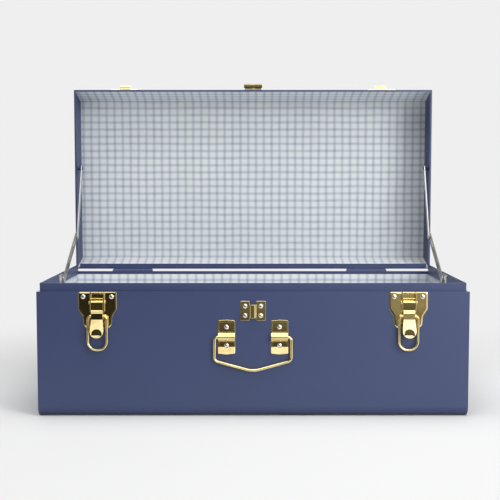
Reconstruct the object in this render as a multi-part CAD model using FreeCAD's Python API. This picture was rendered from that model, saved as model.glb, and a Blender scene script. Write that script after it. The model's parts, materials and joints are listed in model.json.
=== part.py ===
import FreeCAD, Part

import math
import os

from FreeCAD import Vector

# Steel trunk with a stepped neck, hinged lid, draw latches, hasp and drop handle.
# Frame: origin at the centre of the underside, X to the right, Y to the rear, Z up.
# The lid is drawn shut, with its fittings, and then swung open for the rest pose.
# Lengths are in millimetres and angles in degrees.

# Shell of the base and the lid
trunk_width = 550.0
trunk_depth = 275.5
base_height = 160.5
lid_height = 57.0
sheet_thickness = 0.8
bend_radius = 12.0
panel_edge_radius = 0.5
weld_flange_width = 9.0
lid_seat_gap = 0.3
lid_hem_width = 2.6
lid_rear_flange_width = 8.0
lid_rear_flange_end_gap = 5.2

# Neck that the lid shuts over
neck_inset = 3.5
neck_rise = 10.7
neck_drop = 4.5
neck_corner_radius = 2.0

# Lining boards
board_thickness = 1.0
board_ease = 0.1
lid_board_flat_run = 10.3
lid_board_lean = 10.4

# Rivets
rivet_head_radius = 3.0
rivet_head_height = 1.4
rivet_shank_radius = 1.3
rivet_tail_radius = 2.1
rivet_tail_height = 0.6

# Lid hinges
hinge_left_end_gap = 88.0
hinge_right_end_gap = 99.0
hinge_width = 60.0
hinge_outer_knuckle_width = 13.0
hinge_axis_offset = 3.3
hinge_barrel_radius = 3.0
hinge_pin_radius = 1.5
hinge_pin_head_radius = 2.4
hinge_pin_head_width = 0.9
hinge_leaf_thickness = 1.2
hinge_leaf_length = 22.0
hinge_rivet_pitch = 21.0
hinge_rivet_drop = 13.0

# Clearances
running_clearance = 0.05
side_clearance = 0.3
face_clearance = 0.1
cut_overrun = 4.0

# Draw latch plate
latch_end_gap = 77.7
latch_plate_width = 49.0
latch_plate_height = 46.3
latch_plate_top_gap = 0.4
latch_plate_shoulder_drop = 22.0
latch_plate_waist_width = 37.5
latch_plate_waist_drop = 31.0
latch_plate_foot_width = 30.0
latch_plate_foot_drop = 43.0
latch_plate_corner_radius = 2.0
plate_thickness = 1.0
plate_border_width = 2.4
plate_edge_thickness = 0.6
plate_field_corner_radius = 0.5
latch_rivet_spacing = 36.0
latch_rivet_drop = 6.3
latch_rail_outer_width = 18.4
latch_rail_thickness = 1.5
latch_rail_height = 6.5
latch_rail_length = 24.6
latch_bar_height = 1.8
latch_bar_thickness = 1.2
latch_second_bar_drop = 8.2
latch_second_bar_height = 1.7
latch_second_bar_stand = 2.8

# Draw latch lever, whose side profile runs from its pivot down to the thumb lip
lever_pivot_drop = 13.5
lever_pivot_stand = 4.4
lever_pin_radius = 1.2
lever_hub_radius = 2.1
lever_width = 14.8
lever_plate_thickness = 1.2
lever_flange_thickness = 1.1
lever_neck_drop = 22.8
lever_neck_stand = 5.7
lever_panel_drop = 27.0
lever_panel_stand = 6.6
lever_tab_drop = 34.6
lever_tab_stand = 7.3
lever_slope_drop = 46.0
lever_slope_stand = 10.4
lever_lip_drop = 57.6
lever_lip_stand = 12.8
lever_tab_thickness = 3.2
lever_tab_top_width = 14.4
lever_tab_foot_width = 17.2
lever_rib_drop = 24.4
lever_rib_radius = 1.1
lever_flange_foot_drop = 36.5
lever_thumb_radius = 6.7
lever_thumb_drop = 52.9
lever_thumb_foot_drop = 54.6
lever_thumb_stand = 10.7
lever_tab_broad_drop = 46.5
lever_tab_end_radius = 8.3

# Draw latch wire loop
loop_wire_radius = 1.65
loop_outer_width = 27.2
loop_pivot_drop = 30.8
loop_pivot_stand = 4.2
loop_bottom_drop = 75.6
loop_top_bend_radius = 4.0
loop_foot_bend_radius = 11.0
loop_end_depth = 1.9

# Catch plate on the lid and its hook
catch_plate_width = 48.0
catch_plate_height = 30.0
catch_plate_bottom_gap = 1.2
catch_plate_corner_radius = 3.0
catch_rivet_spacing = 36.0
catch_rivet_rise = 17.0
catch_hook_width = 16.6
catch_hook_reach = 7.6
catch_hook_thickness = 1.3
catch_hook_lip_height = 4.6
catch_hook_bend_radius = 1.6

# Handle brackets and bail
bracket_spacing = 67.4
bracket_width = 22.0
bracket_top_drop = 36.7
bracket_foot_drop = 79.0
bracket_edge_bow = 1.0
bracket_corner_radius = 1.6
bracket_roll_radius = 3.7
bracket_roll_foot_height = 9.8
bracket_panel_depth = 0.4
bracket_panel_border = 1.5
bracket_panel_top_drop = 38.6
bracket_panel_foot_drop = 51.6
bracket_low_panel_top_drop = 64.2
bracket_flare_drop = 70.6
bracket_flare_stand = 4.0
bracket_rivet_upper_drop = 45.2
bracket_rivet_lower_drop = 68.6
bail_axis_drop = 57.9
bail_axis_stand = 2.7
bail_wire_radius = 1.85
bail_outer_width = 101.5
bail_side_drop = 88.2
bail_middle_drop = 103.6
bail_top_bend_radius = 4.2
bail_side_bend_radius = 6.5
bail_middle_bend_radius = 34.0
bail_end_depth = 9.0

# Staple plate for the hasp
staple_width = 32.4
staple_top_drop = 11.8
staple_height = 25.2
staple_notch_width = 8.6
staple_notch_depth = 4.0
staple_corner_radius = 1.2
staple_ridge_outer_width = 8.0
staple_ridge_height = 8.0
staple_ridge_thickness = 1.3
staple_ridge_crown_radius = 2.6
staple_rivet_spacing_x = 19.8
staple_rivet_spacing_z = 12.0

# Hasp on the lid
hasp_plate_width = 28.0
hasp_plate_height = 19.0
hasp_axis_rise = 4.0
hasp_axis_stand = 6.1
hasp_barrel_radius = 3.0
hasp_pin_radius = 1.3
hasp_middle_knuckle_width = 5.2
hasp_strap_width = 28.0
hasp_strap_thickness = 1.2
hasp_strap_stand = 2.9
hasp_strap_foot_drop = 38.6
hasp_strap_corner_radius = 4.0
hasp_slot_width = 10.4
hasp_slot_top_drop = 13.8
hasp_slot_foot_drop = 34.9
hasp_tab_reach = 2.2
hasp_rivet_spacing_x = 18.0
hasp_rivet_rise = 16.5
hasp_corner_radius = 1.6
hasp_riser_width = 25.0
hasp_riser_height = 7.0

# Lid stays, with places measured from the hinge axis: back is towards the rear
stay_lower_pivot_forward = 131.0
stay_elbow_forward = 31.0
stay_elbow_rise = 56.0
stay_upper_pivot_back = 15.0
stay_upper_pivot_rise = 159.5
stay_lower_turn = -23.67
stay_upper_turn = 21.06
stay_lower_width = 11.6
stay_upper_width = 9.0
stay_lower_thickness = 1.8
stay_upper_thickness = 1.5
stay_pin_radius = 2.0
stay_pin_head_radius = 3.9
stay_pin_head_height = 1.1
stay_elbow_back_head_height = 0.7
stay_slot_side_play = 1.15
stay_lower_tip_margin = 3.2
stay_bracket_thickness = 1.0
stay_bracket_height = 12.4
stay_bracket_base_drop = 3.9
stay_bracket_rear_run = 6.5
stay_bracket_front_run = 24.0
stay_bracket_corner_radius = 2.0
stay_bracket_rivet_near = 11.0
stay_bracket_rivet_far = 19.0
stay_bracket_rivet_rise = 2.3
stay_rivet_head_radius = 2.1
stay_rivet_head_height = 0.9
stay_lid_plate_width = 20.0
stay_lid_plate_foot_gap = 6.0
stay_lid_plate_head_rise = 16.0
stay_lid_boss_radius = 3.6

# Levels and faces that several pieces share
half_width = trunk_width / 2
latch_centre = half_width - latch_end_gap
hinge_centre_left = hinge_left_end_gap - half_width
hinge_centre_right = half_width - hinge_right_end_gap
front_face = -trunk_depth / 2
rear_face = trunk_depth / 2
shoulder = base_height
lid_rim = shoulder + lid_seat_gap
lid_top = shoulder + lid_height
hinge_axis_y = rear_face + hinge_axis_offset
hinge_axis = Vector(0, hinge_axis_y, shoulder)
inner_face = half_width - sheet_thickness
lining_inset = 2 * sheet_thickness
neck_inner_face = half_width - neck_inset - sheet_thickness
open_turn = -90.0

X_AXIS = Vector(1, 0, 0)
Y_AXIS = Vector(0, 1, 0)
Z_AXIS = Vector(0, 0, 1)


def box(x_from, x_to, y_from, y_to, z_from, z_to):
    """Block between two corners."""
    corner = Vector(min(x_from, x_to), min(y_from, y_to), min(z_from, z_to))
    return Part.makeBox(abs(x_to - x_from), abs(y_to - y_from), abs(z_to - z_from), corner)


def along_x(x):
    """Places (y, z) points of an outline in a plane across X."""
    return lambda u, v: Vector(x, u, v)


def along_y(y):
    """Places (x, z) points of an outline in a plane across Y."""
    return lambda u, v: Vector(u, y, v)


def path_edges(points, place, closed):
    """Lines with tangent arcs at the corners, from (u, v, corner radius) points."""
    count = len(points)
    corners = []
    for index, (u, v, radius) in enumerate(points):
        here = Vector(u, v, 0)
        is_end = not closed and index in (0, count - 1)
        if radius == 0 or is_end:
            corners.append((here, None, here))
            continue
        before = points[index - 1]
        after = points[(index + 1) % count]
        to_before = (Vector(before[0], before[1], 0) - here).normalize()
        to_after = (Vector(after[0], after[1], 0) - here).normalize()
        half_angle = to_before.getAngle(to_after) / 2
        run = radius / math.tan(half_angle)
        inward = (to_before + to_after).normalize()
        middle = here + inward * (radius / math.sin(half_angle) - radius)
        corners.append((here + to_before * run, middle, here + to_after * run))
    edges = []
    for index, (start, middle, end) in enumerate(corners):
        if middle is not None:
            arc_points = [place(p.x, p.y) for p in (start, middle, end)]
            edges.append(Part.Arc(*arc_points).toShape())
        if index == count - 1 and not closed:
            break
        target = corners[(index + 1) % count][0]
        if end.distanceToPoint(target) > Part.Precision.confusion():
            edges.append(Part.LineSegment(place(end.x, end.y), place(target.x, target.y)).toShape())
    return edges


def prism(points, place, run):
    """Solid from a rounded outline, drawn out along a vector."""
    return Part.Face(Part.Wire(path_edges(points, place, True))).extrude(run)


def prism_x(points, x_from, x_to):
    return prism(points, along_x(x_from), X_AXIS * (x_to - x_from))


def prism_y(points, y_from, y_to):
    return prism(points, along_y(y_from), Y_AXIS * (y_to - y_from))


def rod(points, place, radius):
    """Round wire bent along a path of (u, v, bend radius) points."""
    edges = path_edges(points, place, False)
    path = Part.Wire(edges)
    start = edges[0].Vertexes[0].Point
    direction = edges[0].tangentAt(edges[0].FirstParameter)
    circle = Part.Wire(Part.makeCircle(radius, start, direction))
    return path.makePipeShell([circle], True, True)


def rounded_box_points(u_from, u_to, v_from, v_to, low_radius, high_radius):
    """Outline of a rectangle with its low and high corners rounded."""
    return [
        (u_from, v_from, low_radius),
        (u_to, v_from, low_radius),
        (u_to, v_to, high_radius),
        (u_from, v_to, high_radius),
    ]


def mirrored(points):
    """Right half of an outline, from top to bottom, with its left half added."""
    return points + [(-u, v, radius) for u, v, radius in reversed(points)]


def cylinder_x(x_from, x_to, y, z, radius):
    return Part.makeCylinder(radius, x_to - x_from, Vector(x_from, y, z), X_AXIS)


def stand(shape, point, direction):
    """Turns a shape drawn upwards from the origin to stand at a point."""
    placed = shape.copy()
    placed.Placement = FreeCAD.Placement(point, FreeCAD.Rotation(Z_AXIS, direction))
    return placed


def rivet(head_radius, head_height, shank_radius, grip, tail_radius, tail_height):
    """Domed rivet: the head stands on the plate, the tail is behind the sheets it grips."""
    dome_radius = (head_radius ** 2 + head_height ** 2) / (2 * head_height)
    dome_middle = head_radius / 2
    dome_drop = math.sqrt(dome_radius ** 2 - dome_middle ** 2) - (dome_radius - head_height)
    crown = Vector(0, 0, head_height)
    rim = Vector(head_radius, 0, 0)
    edges = [Part.Arc(crown, Vector(dome_middle, 0, dome_drop), rim).toShape()]
    steps = [
        rim,
        Vector(shank_radius, 0, 0),
        Vector(shank_radius, 0, -grip),
        Vector(tail_radius, 0, -grip),
        Vector(tail_radius, 0, -grip - tail_height),
        Vector(0, 0, -grip - tail_height),
        crown,
    ]
    edges += [Part.LineSegment(a, b).toShape() for a, b in zip(steps, steps[1:]) if a != b]
    profile = Part.Face(Part.Wire(edges))
    return profile.revolve(Vector(0, 0, 0), Z_AXIS, 360)


def plate_rivet(grip):
    return rivet(
        rivet_head_radius,
        rivet_head_height,
        rivet_shank_radius,
        grip,
        rivet_tail_radius,
        rivet_tail_height,
    )


def small_rivet(grip):
    return rivet(
        stay_rivet_head_radius,
        stay_rivet_head_height,
        rivet_shank_radius,
        grip,
        rivet_tail_radius,
        rivet_tail_height,
    )


def drill(shape, point, direction, depth):
    """Clears a rivet's shank through a plate and the sheet behind it."""
    start = point + direction * cut_overrun
    hole = Part.makeCylinder(rivet_shank_radius, depth + 2 * cut_overrun, start, direction * -1)
    return shape.cut(hole)


def swing_open(shape):
    """Moves a piece of the shut lid to the rest pose, with the lid open."""
    opened = shape.copy()
    opened.rotate(hinge_axis, X_AXIS, open_turn)
    return opened


def group(shapes):
    return Part.makeCompound(shapes)


# Places of the rivets, as points on the outer face of the sheet

def plate_grip():
    return plate_thickness + sheet_thickness


def latch_rivet_points():
    places = []
    for centre in (-latch_centre, latch_centre):
        for side in (-latch_rivet_spacing / 2, latch_rivet_spacing / 2):
            places.append(Vector(centre + side, front_face, shoulder - latch_rivet_drop))
    return places


def handle_rivet_points():
    places = []
    for centre in (-bracket_spacing / 2, bracket_spacing / 2):
        for drop in (bracket_rivet_upper_drop, bracket_rivet_lower_drop):
            places.append(Vector(centre, front_face, shoulder - drop))
    return places


def staple_rivet_points():
    middle = shoulder - staple_top_drop - staple_height / 2
    places = []
    for x in (-staple_rivet_spacing_x / 2, staple_rivet_spacing_x / 2):
        for z in (-staple_rivet_spacing_z / 2, staple_rivet_spacing_z / 2):
            places.append(Vector(x, front_face, middle + z))
    return places


def hinge_rivet_points(height):
    places = []
    for centre in (hinge_centre_left, hinge_centre_right):
        for step in (-hinge_rivet_pitch, 0, hinge_rivet_pitch):
            places.append(Vector(centre + step, rear_face, shoulder + height))
    return places


def catch_rivet_points():
    places = []
    for centre in (-latch_centre, latch_centre):
        for side in (-catch_rivet_spacing / 2, catch_rivet_spacing / 2):
            places.append(Vector(centre + side, front_face, shoulder + catch_rivet_rise))
    return places


def hasp_rivet_points():
    height = shoulder + hasp_rivet_rise
    sides = (-hasp_rivet_spacing_x / 2, hasp_rivet_spacing_x / 2)
    return [Vector(side, front_face, height) for side in sides]


def front_rivets(places):
    """Rivets whose heads stand on a plate on the front face."""
    lift = Y_AXIS * -plate_thickness
    return group([stand(plate_rivet(plate_grip()), place + lift, Y_AXIS * -1) for place in places])


def rear_rivets(places):
    """Rivets whose heads stand on a hinge leaf on the rear face."""
    grip = hinge_leaf_thickness + sheet_thickness
    lift = Y_AXIS * hinge_leaf_thickness
    return group([stand(plate_rivet(grip), place + lift, Y_AXIS) for place in places])


def drill_all(shape, places, direction):
    for place in places:
        shape = drill(shape, place, direction, plate_thickness + sheet_thickness)
    return shape


# Base shell

def base_outline(inset, top):
    """Side view of the base, drawn in by an inset, with its low corners bent."""
    radius = bend_radius - inset
    return rounded_box_points(front_face + inset, rear_face - inset, inset, top, radius, 0)


def base_wrap():
    """One sheet that makes the front, the bottom and the rear wall."""
    outer = prism_x(base_outline(0, shoulder), -inner_face, inner_face)
    inner = prism_x(base_outline(sheet_thickness, shoulder + cut_overrun), -inner_face, inner_face)
    ledge_end = half_width - neck_inset
    ledge = box(
        -ledge_end,
        ledge_end,
        front_face,
        front_face + neck_inset,
        shoulder - sheet_thickness,
        shoulder,
    )
    wrap = outer.cut(inner).fuse(ledge).removeSplitter()
    front_places = latch_rivet_points() + handle_rivet_points() + staple_rivet_points()
    wrap = drill_all(wrap, front_places, Y_AXIS * -1)
    return drill_all(wrap, hinge_rivet_points(-hinge_rivet_drop), Y_AXIS)


def rounded_panel(outline_points, x_inner, x_outer):
    """Flat end panel whose outer edges are eased."""
    panel = prism_x(outline_points, x_inner, x_outer)
    outer_edges = [edge for edge in panel.Edges if abs(edge.BoundBox.XMin - x_outer) < panel_edge_radius
                   and abs(edge.BoundBox.XMax - x_outer) < panel_edge_radius]
    return panel.makeFillet(panel_edge_radius, outer_edges)


def base_end():
    """Right end panel with its weld flange and the ledge at the shoulder."""
    panel = rounded_panel(base_outline(0, shoulder), inner_face, half_width)
    flange_top = shoulder - sheet_thickness - face_clearance
    flange_end = inner_face - weld_flange_width
    flange_outer = prism_x(base_outline(sheet_thickness, flange_top), flange_end, inner_face)
    core_top = flange_top + cut_overrun
    flange_inner = prism_x(base_outline(lining_inset, core_top), flange_end, inner_face)
    ledge = box(
        half_width - neck_inset,
        inner_face,
        front_face + sheet_thickness,
        rear_face - sheet_thickness,
        shoulder - sheet_thickness,
        shoulder,
    )
    front_corner = box(
        half_width - neck_inset,
        inner_face,
        front_face,
        front_face + sheet_thickness,
        shoulder - sheet_thickness,
        shoulder,
    )
    wrap_wall = prism_x(base_outline(0, shoulder), flange_end, inner_face).cut(
        prism_x(base_outline(sheet_thickness, core_top), flange_end, inner_face)
    )
    ledge = ledge.fuse(front_corner).cut(wrap_wall)
    flange = flange_outer.cut(flange_inner)
    return panel.fuse([flange, ledge]).removeSplitter()


def mirror_x(shape):
    """The left-hand copy of a right-hand piece."""
    return shape.mirror(Vector(0, 0, 0), X_AXIS)


def neck_frame():
    """Standing strip inside the front and both sides, which the lid shuts over."""
    low = shoulder - neck_drop
    high = shoulder + neck_rise
    rear_end = rear_face - neck_inset
    outer = rounded_box_points(
        -half_width + neck_inset,
        half_width - neck_inset,
        front_face + neck_inset,
        rear_end,
        neck_corner_radius,
        0,
    )
    inner = rounded_box_points(
        -neck_inner_face,
        neck_inner_face,
        front_face + neck_inset + sheet_thickness,
        rear_end + cut_overrun,
        neck_corner_radius - sheet_thickness,
        0,
    )
    place = lambda u, v: Vector(u, v, low)
    run = Z_AXIS * (high - low)
    strip = prism(outer, place, run).cut(prism(inner, place, run))
    for place_on_neck in stay_base_rivet_points():
        strip = drill(strip, place_on_neck, X_AXIS, sheet_thickness)
        left_place = Vector(-place_on_neck.x, place_on_neck.y, place_on_neck.z)
        strip = drill(strip, left_place, X_AXIS * -1, sheet_thickness)
    return strip


def base_lining_wrap():
    """Board that lines the front, the floor and the rear wall."""
    end = inner_face - board_thickness - board_ease
    front_top = shoulder - sheet_thickness - board_ease
    rear_top = shoulder - neck_drop
    outer = prism_x(base_outline(lining_inset, front_top), -end, end)
    core = base_outline(lining_inset + board_thickness, front_top + cut_overrun)
    lining = outer.cut(prism_x(core, -end, end))
    rear_cut = box(-end, end, 0, rear_face, rear_top, front_top + cut_overrun)
    return lining.cut(rear_cut)


def base_lining_end():
    """Board against the right end panel."""
    outline = base_outline(lining_inset + board_ease, shoulder - neck_drop + board_ease)
    board = prism_x(outline, inner_face - board_thickness, inner_face)
    return board


# Lid shell, drawn shut

def lid_outline(inset, low):
    """Side view of the shut lid, drawn in by an inset, with its high corners bent."""
    radius = bend_radius - inset
    return rounded_box_points(front_face + inset, rear_face - inset, low, lid_top - inset, 0, radius)


def lid_wrap():
    """One sheet that makes the front, the top and the rear wall of the lid."""
    outer = prism_x(lid_outline(0, lid_rim), -inner_face, inner_face)
    inner = prism_x(lid_outline(sheet_thickness, lid_rim - cut_overrun), -inner_face, inner_face)
    hem_end = half_width - lid_hem_width
    front_hem = box(
        -hem_end,
        hem_end,
        front_face,
        front_face + lid_hem_width,
        lid_rim,
        lid_rim + sheet_thickness,
    )
    flange_end = half_width - neck_inset - lid_rear_flange_end_gap / 2
    rear_flange = box(
        -flange_end,
        flange_end,
        rear_face - lid_rear_flange_width,
        rear_face,
        lid_rim,
        lid_rim + sheet_thickness,
    )
    wrap = outer.cut(inner).fuse([front_hem, rear_flange]).removeSplitter()
    wrap = drill_all(wrap, catch_rivet_points() + hasp_rivet_points(), Y_AXIS * -1)
    return swing_open(drill_all(wrap, hinge_rivet_points(hinge_rivet_drop), Y_AXIS))


def lid_end(side):
    """End panel of the lid with its weld flange and hem; side is 1 on the right."""
    panel = rounded_panel(lid_outline(0, lid_rim), inner_face, half_width)
    flange_low = lid_rim + sheet_thickness + face_clearance
    flange_end = inner_face - weld_flange_width
    flange_outer = prism_x(lid_outline(sheet_thickness, flange_low), flange_end, inner_face)
    flange_inner = prism_x(lid_outline(lining_inset, flange_low - cut_overrun), flange_end, inner_face)
    hem = box(
        half_width - lid_hem_width,
        inner_face,
        front_face + sheet_thickness,
        rear_face - neck_inset + sheet_thickness,
        lid_rim,
        lid_rim + sheet_thickness,
    )
    end = panel.fuse([flange_outer.cut(flange_inner), hem]).removeSplitter()
    if side < 0:
        end = mirror_x(end)
    return swing_open(end)


def lid_board_points(wall, inward):
    """Side view of a long lining board: straight past the neck, then leaning inward."""
    low = lid_rim + sheet_thickness + board_ease
    bend = low + lid_board_flat_run
    high = lid_top - lining_inset - board_thickness - board_ease
    back = wall + inward * lining_inset
    lean = inward * lid_board_lean
    thickness = inward * board_thickness
    return [
        (back, low, 0),
        (back + thickness, low, 0),
        (back + thickness, bend, 0),
        (back + thickness + lean, high, 0),
        (back + lean, high, 0),
        (back, bend, 0),
    ]


def lid_lining_front():
    end = inner_face - board_ease
    return swing_open(prism_x(lid_board_points(front_face, 1), -end, end))


def lid_lining_rear():
    end = inner_face - board_ease
    return swing_open(prism_x(lid_board_points(rear_face, -1), -end, end))


def lid_lining_panel():
    """Large board that faces the inside of the lid's top."""
    end = inner_face - board_ease
    inset = lining_inset + lid_board_lean
    high = lid_top - lining_inset
    board = box(-end, end, front_face + inset, rear_face - inset, high - board_thickness, high)
    return swing_open(board)


# Lid hinges

def knuckle_spans(centre):
    """X ranges of the three knuckles: left, middle, right."""
    left = centre - hinge_width / 2
    right = centre + hinge_width / 2
    first = left + hinge_outer_knuckle_width
    last = right - hinge_outer_knuckle_width
    return [(left, first), (first, last), (last, right)]


def hinge_leaf(centre, outer_knuckles, direction):
    """Leaf on the rear face with its knuckles; direction is -1 for the base, 1 for the lid."""
    web_reach = hinge_barrel_radius + side_clearance
    plate = box(
        centre - hinge_width / 2,
        centre + hinge_width / 2,
        rear_face,
        rear_face + hinge_leaf_thickness,
        shoulder + direction * web_reach,
        shoulder + direction * hinge_leaf_length,
    )
    spans = knuckle_spans(centre)
    own = [spans[0], spans[2]] if outer_knuckles else [spans[1]]
    parts = []
    for start, end in own:
        left = start if start == spans[0][0] else start + side_clearance / 2
        right = end if end == spans[2][1] else end - side_clearance / 2
        parts.append(cylinder_x(left, right, hinge_axis_y, shoulder, hinge_barrel_radius))
        parts.append(
            box(
                left,
                right,
                rear_face,
                rear_face + hinge_leaf_thickness,
                shoulder + direction * face_clearance,
                shoulder + direction * web_reach,
            )
        )
    leaf = plate.fuse(parts)
    bore_radius = hinge_pin_radius + running_clearance
    bore = cylinder_x(
        centre - hinge_width / 2 - cut_overrun,
        centre + hinge_width / 2 + cut_overrun,
        hinge_axis_y,
        shoulder,
        bore_radius,
    )
    leaf = leaf.cut(bore).removeSplitter()
    height = direction * hinge_rivet_drop
    return drill_all(leaf, hinge_rivet_points(height), Y_AXIS)


def hinge_base_leaf(centre):
    return hinge_leaf(centre, True, -1)


def hinge_lid_leaf(centre):
    return swing_open(hinge_leaf(centre, False, 1))


def hinge_pin(centre):
    """Headed pin through the three knuckles."""
    left = centre - hinge_width / 2
    right = centre + hinge_width / 2
    head = hinge_pin_head_width
    pin = cylinder_x(left - face_clearance, right + face_clearance, hinge_axis_y, shoulder, hinge_pin_radius)
    left_end = left - face_clearance
    right_end = right + face_clearance
    left_head = cylinder_x(left_end - head, left_end, hinge_axis_y, shoulder, hinge_pin_head_radius)
    right_head = cylinder_x(right_end, right_end + head, hinge_axis_y, shoulder, hinge_pin_head_radius)
    return pin.fuse([left_head, right_head]).removeSplitter()


# Draw latches, drawn at the middle of the front and then moved to their side

def out(distance):
    """Y of a point that stands a distance proud of the front face."""
    return front_face - distance


def down(drop):
    """Z of a point below the shoulder."""
    return shoulder - drop


def latch_plate_half_outline():
    return [
        (latch_plate_width / 2, down(latch_plate_top_gap), latch_plate_corner_radius),
        (latch_plate_width / 2, down(latch_plate_shoulder_drop), latch_plate_corner_radius),
        (latch_plate_waist_width / 2, down(latch_plate_waist_drop), latch_plate_corner_radius),
        (latch_plate_foot_width / 2 + plate_border_width, down(latch_plate_foot_drop), latch_plate_corner_radius),
        (latch_plate_foot_width / 2 - plate_border_width / 2, down(latch_plate_height), latch_plate_corner_radius),
    ]


def inset_outline(points, inset, corner_radius):
    """Corner points of an outline moved inwards by an even border."""
    corners = [Vector(u, v, 0) for u, v, radius in points]
    following = corners[1:] + corners[:1]
    turning = sum(here.x * after.y - after.x * here.y for here, after in zip(corners, following))
    inwards = math.copysign(1, turning)
    normals = []
    for here, after in zip(corners, following):
        run = (after - here).normalize()
        normals.append(Vector(-run.y, run.x, 0) * inwards)
    moved = []
    for index, here in enumerate(corners):
        before_normal = normals[index - 1]
        after_normal = normals[index]
        both = before_normal + after_normal
        place = here + both * (inset / both.dot(after_normal))
        moved.append((place.x, place.y, corner_radius))
    return moved


def stamped_plate(outline):
    """Plate on the front face whose border slopes down to a thinner edge."""
    flat = prism_y(outline, out(0), out(plate_edge_thickness))
    edge_wire = Part.Wire(path_edges(outline, along_y(out(plate_edge_thickness)), True))
    field = inset_outline(outline, plate_border_width, plate_field_corner_radius)
    field_wire = Part.Wire(path_edges(field, along_y(out(plate_thickness)), True))
    dome = Part.makeLoft([edge_wire, field_wire], True, True)
    return flat.fuse(dome).removeSplitter()


def latch_plate():
    """Back plate with the two rails of the lever's channel and two cross bars."""
    outline = mirrored(latch_plate_half_outline())
    plate = stamped_plate(outline)
    half_channel = latch_rail_outer_width / 2
    rail_top = down(latch_plate_top_gap)
    rail_foot = down(latch_rail_length)
    rails = []
    for side in (-1, 1):
        rail = box(
            side * (half_channel - latch_rail_thickness),
            side * half_channel,
            out(plate_thickness),
            out(latch_rail_height),
            rail_top,
            rail_foot,
        )
        rails.append(rail)
    top_bar = box(
        -half_channel,
        half_channel,
        out(latch_rail_height - latch_bar_thickness),
        out(latch_rail_height),
        rail_top,
        rail_top - latch_bar_height,
    )
    second_bar = box(
        -half_channel + latch_rail_thickness / 2,
        half_channel - latch_rail_thickness / 2,
        out(latch_second_bar_stand - latch_bar_thickness),
        out(latch_second_bar_stand),
        down(latch_second_bar_drop),
        down(latch_second_bar_drop + latch_second_bar_height),
    )
    plate = plate.fuse(rails + [top_bar, second_bar]).removeSplitter()
    pin_hole = cylinder_x(
        -half_channel - cut_overrun,
        half_channel + cut_overrun,
        out(lever_pivot_stand),
        down(lever_pivot_drop),
        lever_pin_radius,
    )
    plate = plate.cut(pin_hole)
    for side in (-latch_rivet_spacing / 2, latch_rivet_spacing / 2):
        place = Vector(side, front_face, down(latch_rivet_drop))
        plate = drill(plate, place, Y_AXIS * -1, plate_thickness)
    return plate


def latch_pin():
    """Pin of the lever, held in the two rails, with low heads outside them."""
    half_channel = latch_rail_outer_width / 2
    y = out(lever_pivot_stand)
    z = down(lever_pivot_drop)
    head = hinge_pin_head_width
    pin = cylinder_x(-half_channel, half_channel, y, z, lever_pin_radius)
    left = cylinder_x(-half_channel - head, -half_channel, y, z, lever_hub_radius)
    right = cylinder_x(half_channel, half_channel + head, y, z, lever_hub_radius)
    return pin.fuse([left, right]).removeSplitter()


def lever_skin(front_depth, back_depth):
    """Side view of the lever's plate between two depths behind its outer face."""
    line = [
        (lever_pivot_stand + lever_hub_radius, lever_pivot_drop),
        (lever_neck_stand + lever_plate_thickness / 2, lever_neck_drop),
        (lever_panel_stand + lever_plate_thickness / 2, lever_panel_drop),
        (lever_tab_stand + lever_plate_thickness / 2, lever_tab_drop),
        (lever_slope_stand + lever_plate_thickness / 2, lever_slope_drop),
        (lever_lip_stand + lever_plate_thickness / 2, lever_lip_drop),
    ]
    outer = [(out(stand_off - front_depth), down(drop), 0) for stand_off, drop in line]
    inner = [(out(stand_off - back_depth), down(drop), 0) for stand_off, drop in line]
    return outer + inner[::-1]


def lever():
    """Hub, side flanges, ribbed plate and thumb tab of the latch lever."""
    half = lever_width / 2
    y_pivot = out(lever_pivot_stand)
    z_pivot = down(lever_pivot_drop)
    hub = cylinder_x(-half, half, y_pivot, z_pivot, lever_hub_radius)
    plate = prism_x(lever_skin(0, lever_plate_thickness), -half, half)
    plate = plate.cut(box(-half, half, out(0), out(lever_lip_stand * 2), down(lever_slope_drop), 0))
    rib = cylinder_x(
        -half,
        half,
        out(lever_neck_stand + lever_plate_thickness),
        down(lever_rib_drop),
        lever_rib_radius,
    )
    flange_low = plate_thickness + side_clearance
    flange_points = [
        (y_pivot, z_pivot, 0),
        (out(flange_low), down(lever_pivot_drop + lever_hub_radius), 0),
        (out(flange_low), down(loop_pivot_drop + loop_wire_radius + lever_flange_thickness), 0),
        (out(lever_tab_stand), down(lever_flange_foot_drop), 0),
        (out(lever_tab_stand), down(lever_tab_drop), 0),
        (out(lever_panel_stand), down(lever_panel_drop), 0),
        (out(lever_neck_stand), down(lever_neck_drop), 0),
    ]
    left_flange = prism_x(flange_points, -half, -half + lever_flange_thickness)
    right_flange = prism_x(flange_points, half - lever_flange_thickness, half)
    tab_outline = mirrored(
        [
            (lever_tab_top_width / 2, down(lever_tab_drop), 0),
            (lever_tab_foot_width / 2, down(lever_tab_broad_drop), lever_hub_radius),
            (lever_tab_foot_width / 2, down(lever_lip_drop), lever_tab_end_radius),
        ]
    )
    tab_block = prism_y(tab_outline, out(0), out(2 * lever_lip_stand))
    tab = prism_x(lever_skin(0, lever_tab_thickness), -half * 2, half * 2).common(tab_block)
    thumb = Part.makeCylinder(
        lever_thumb_radius,
        lever_lip_stand,
        Vector(0, out(lever_thumb_stand), down(lever_thumb_drop)),
        Y_AXIS * -1,
    )
    thumb_block = box(
        -half,
        half,
        out(lever_thumb_stand),
        out(2 * lever_lip_stand),
        down(lever_thumb_foot_drop),
        down(lever_slope_drop - cut_overrun),
    )
    tab = tab.cut(thumb.common(thumb_block))
    shape = hub.fuse([plate, rib, left_flange, right_flange, tab]).removeSplitter()
    pin_bore = cylinder_x(-half, half, y_pivot, z_pivot, lever_pin_radius + running_clearance)
    loop_bore = cylinder_x(
        -half,
        half,
        out(loop_pivot_stand),
        down(loop_pivot_drop),
        loop_wire_radius + running_clearance,
    )
    return shape.cut([pin_bore, loop_bore])


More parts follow.
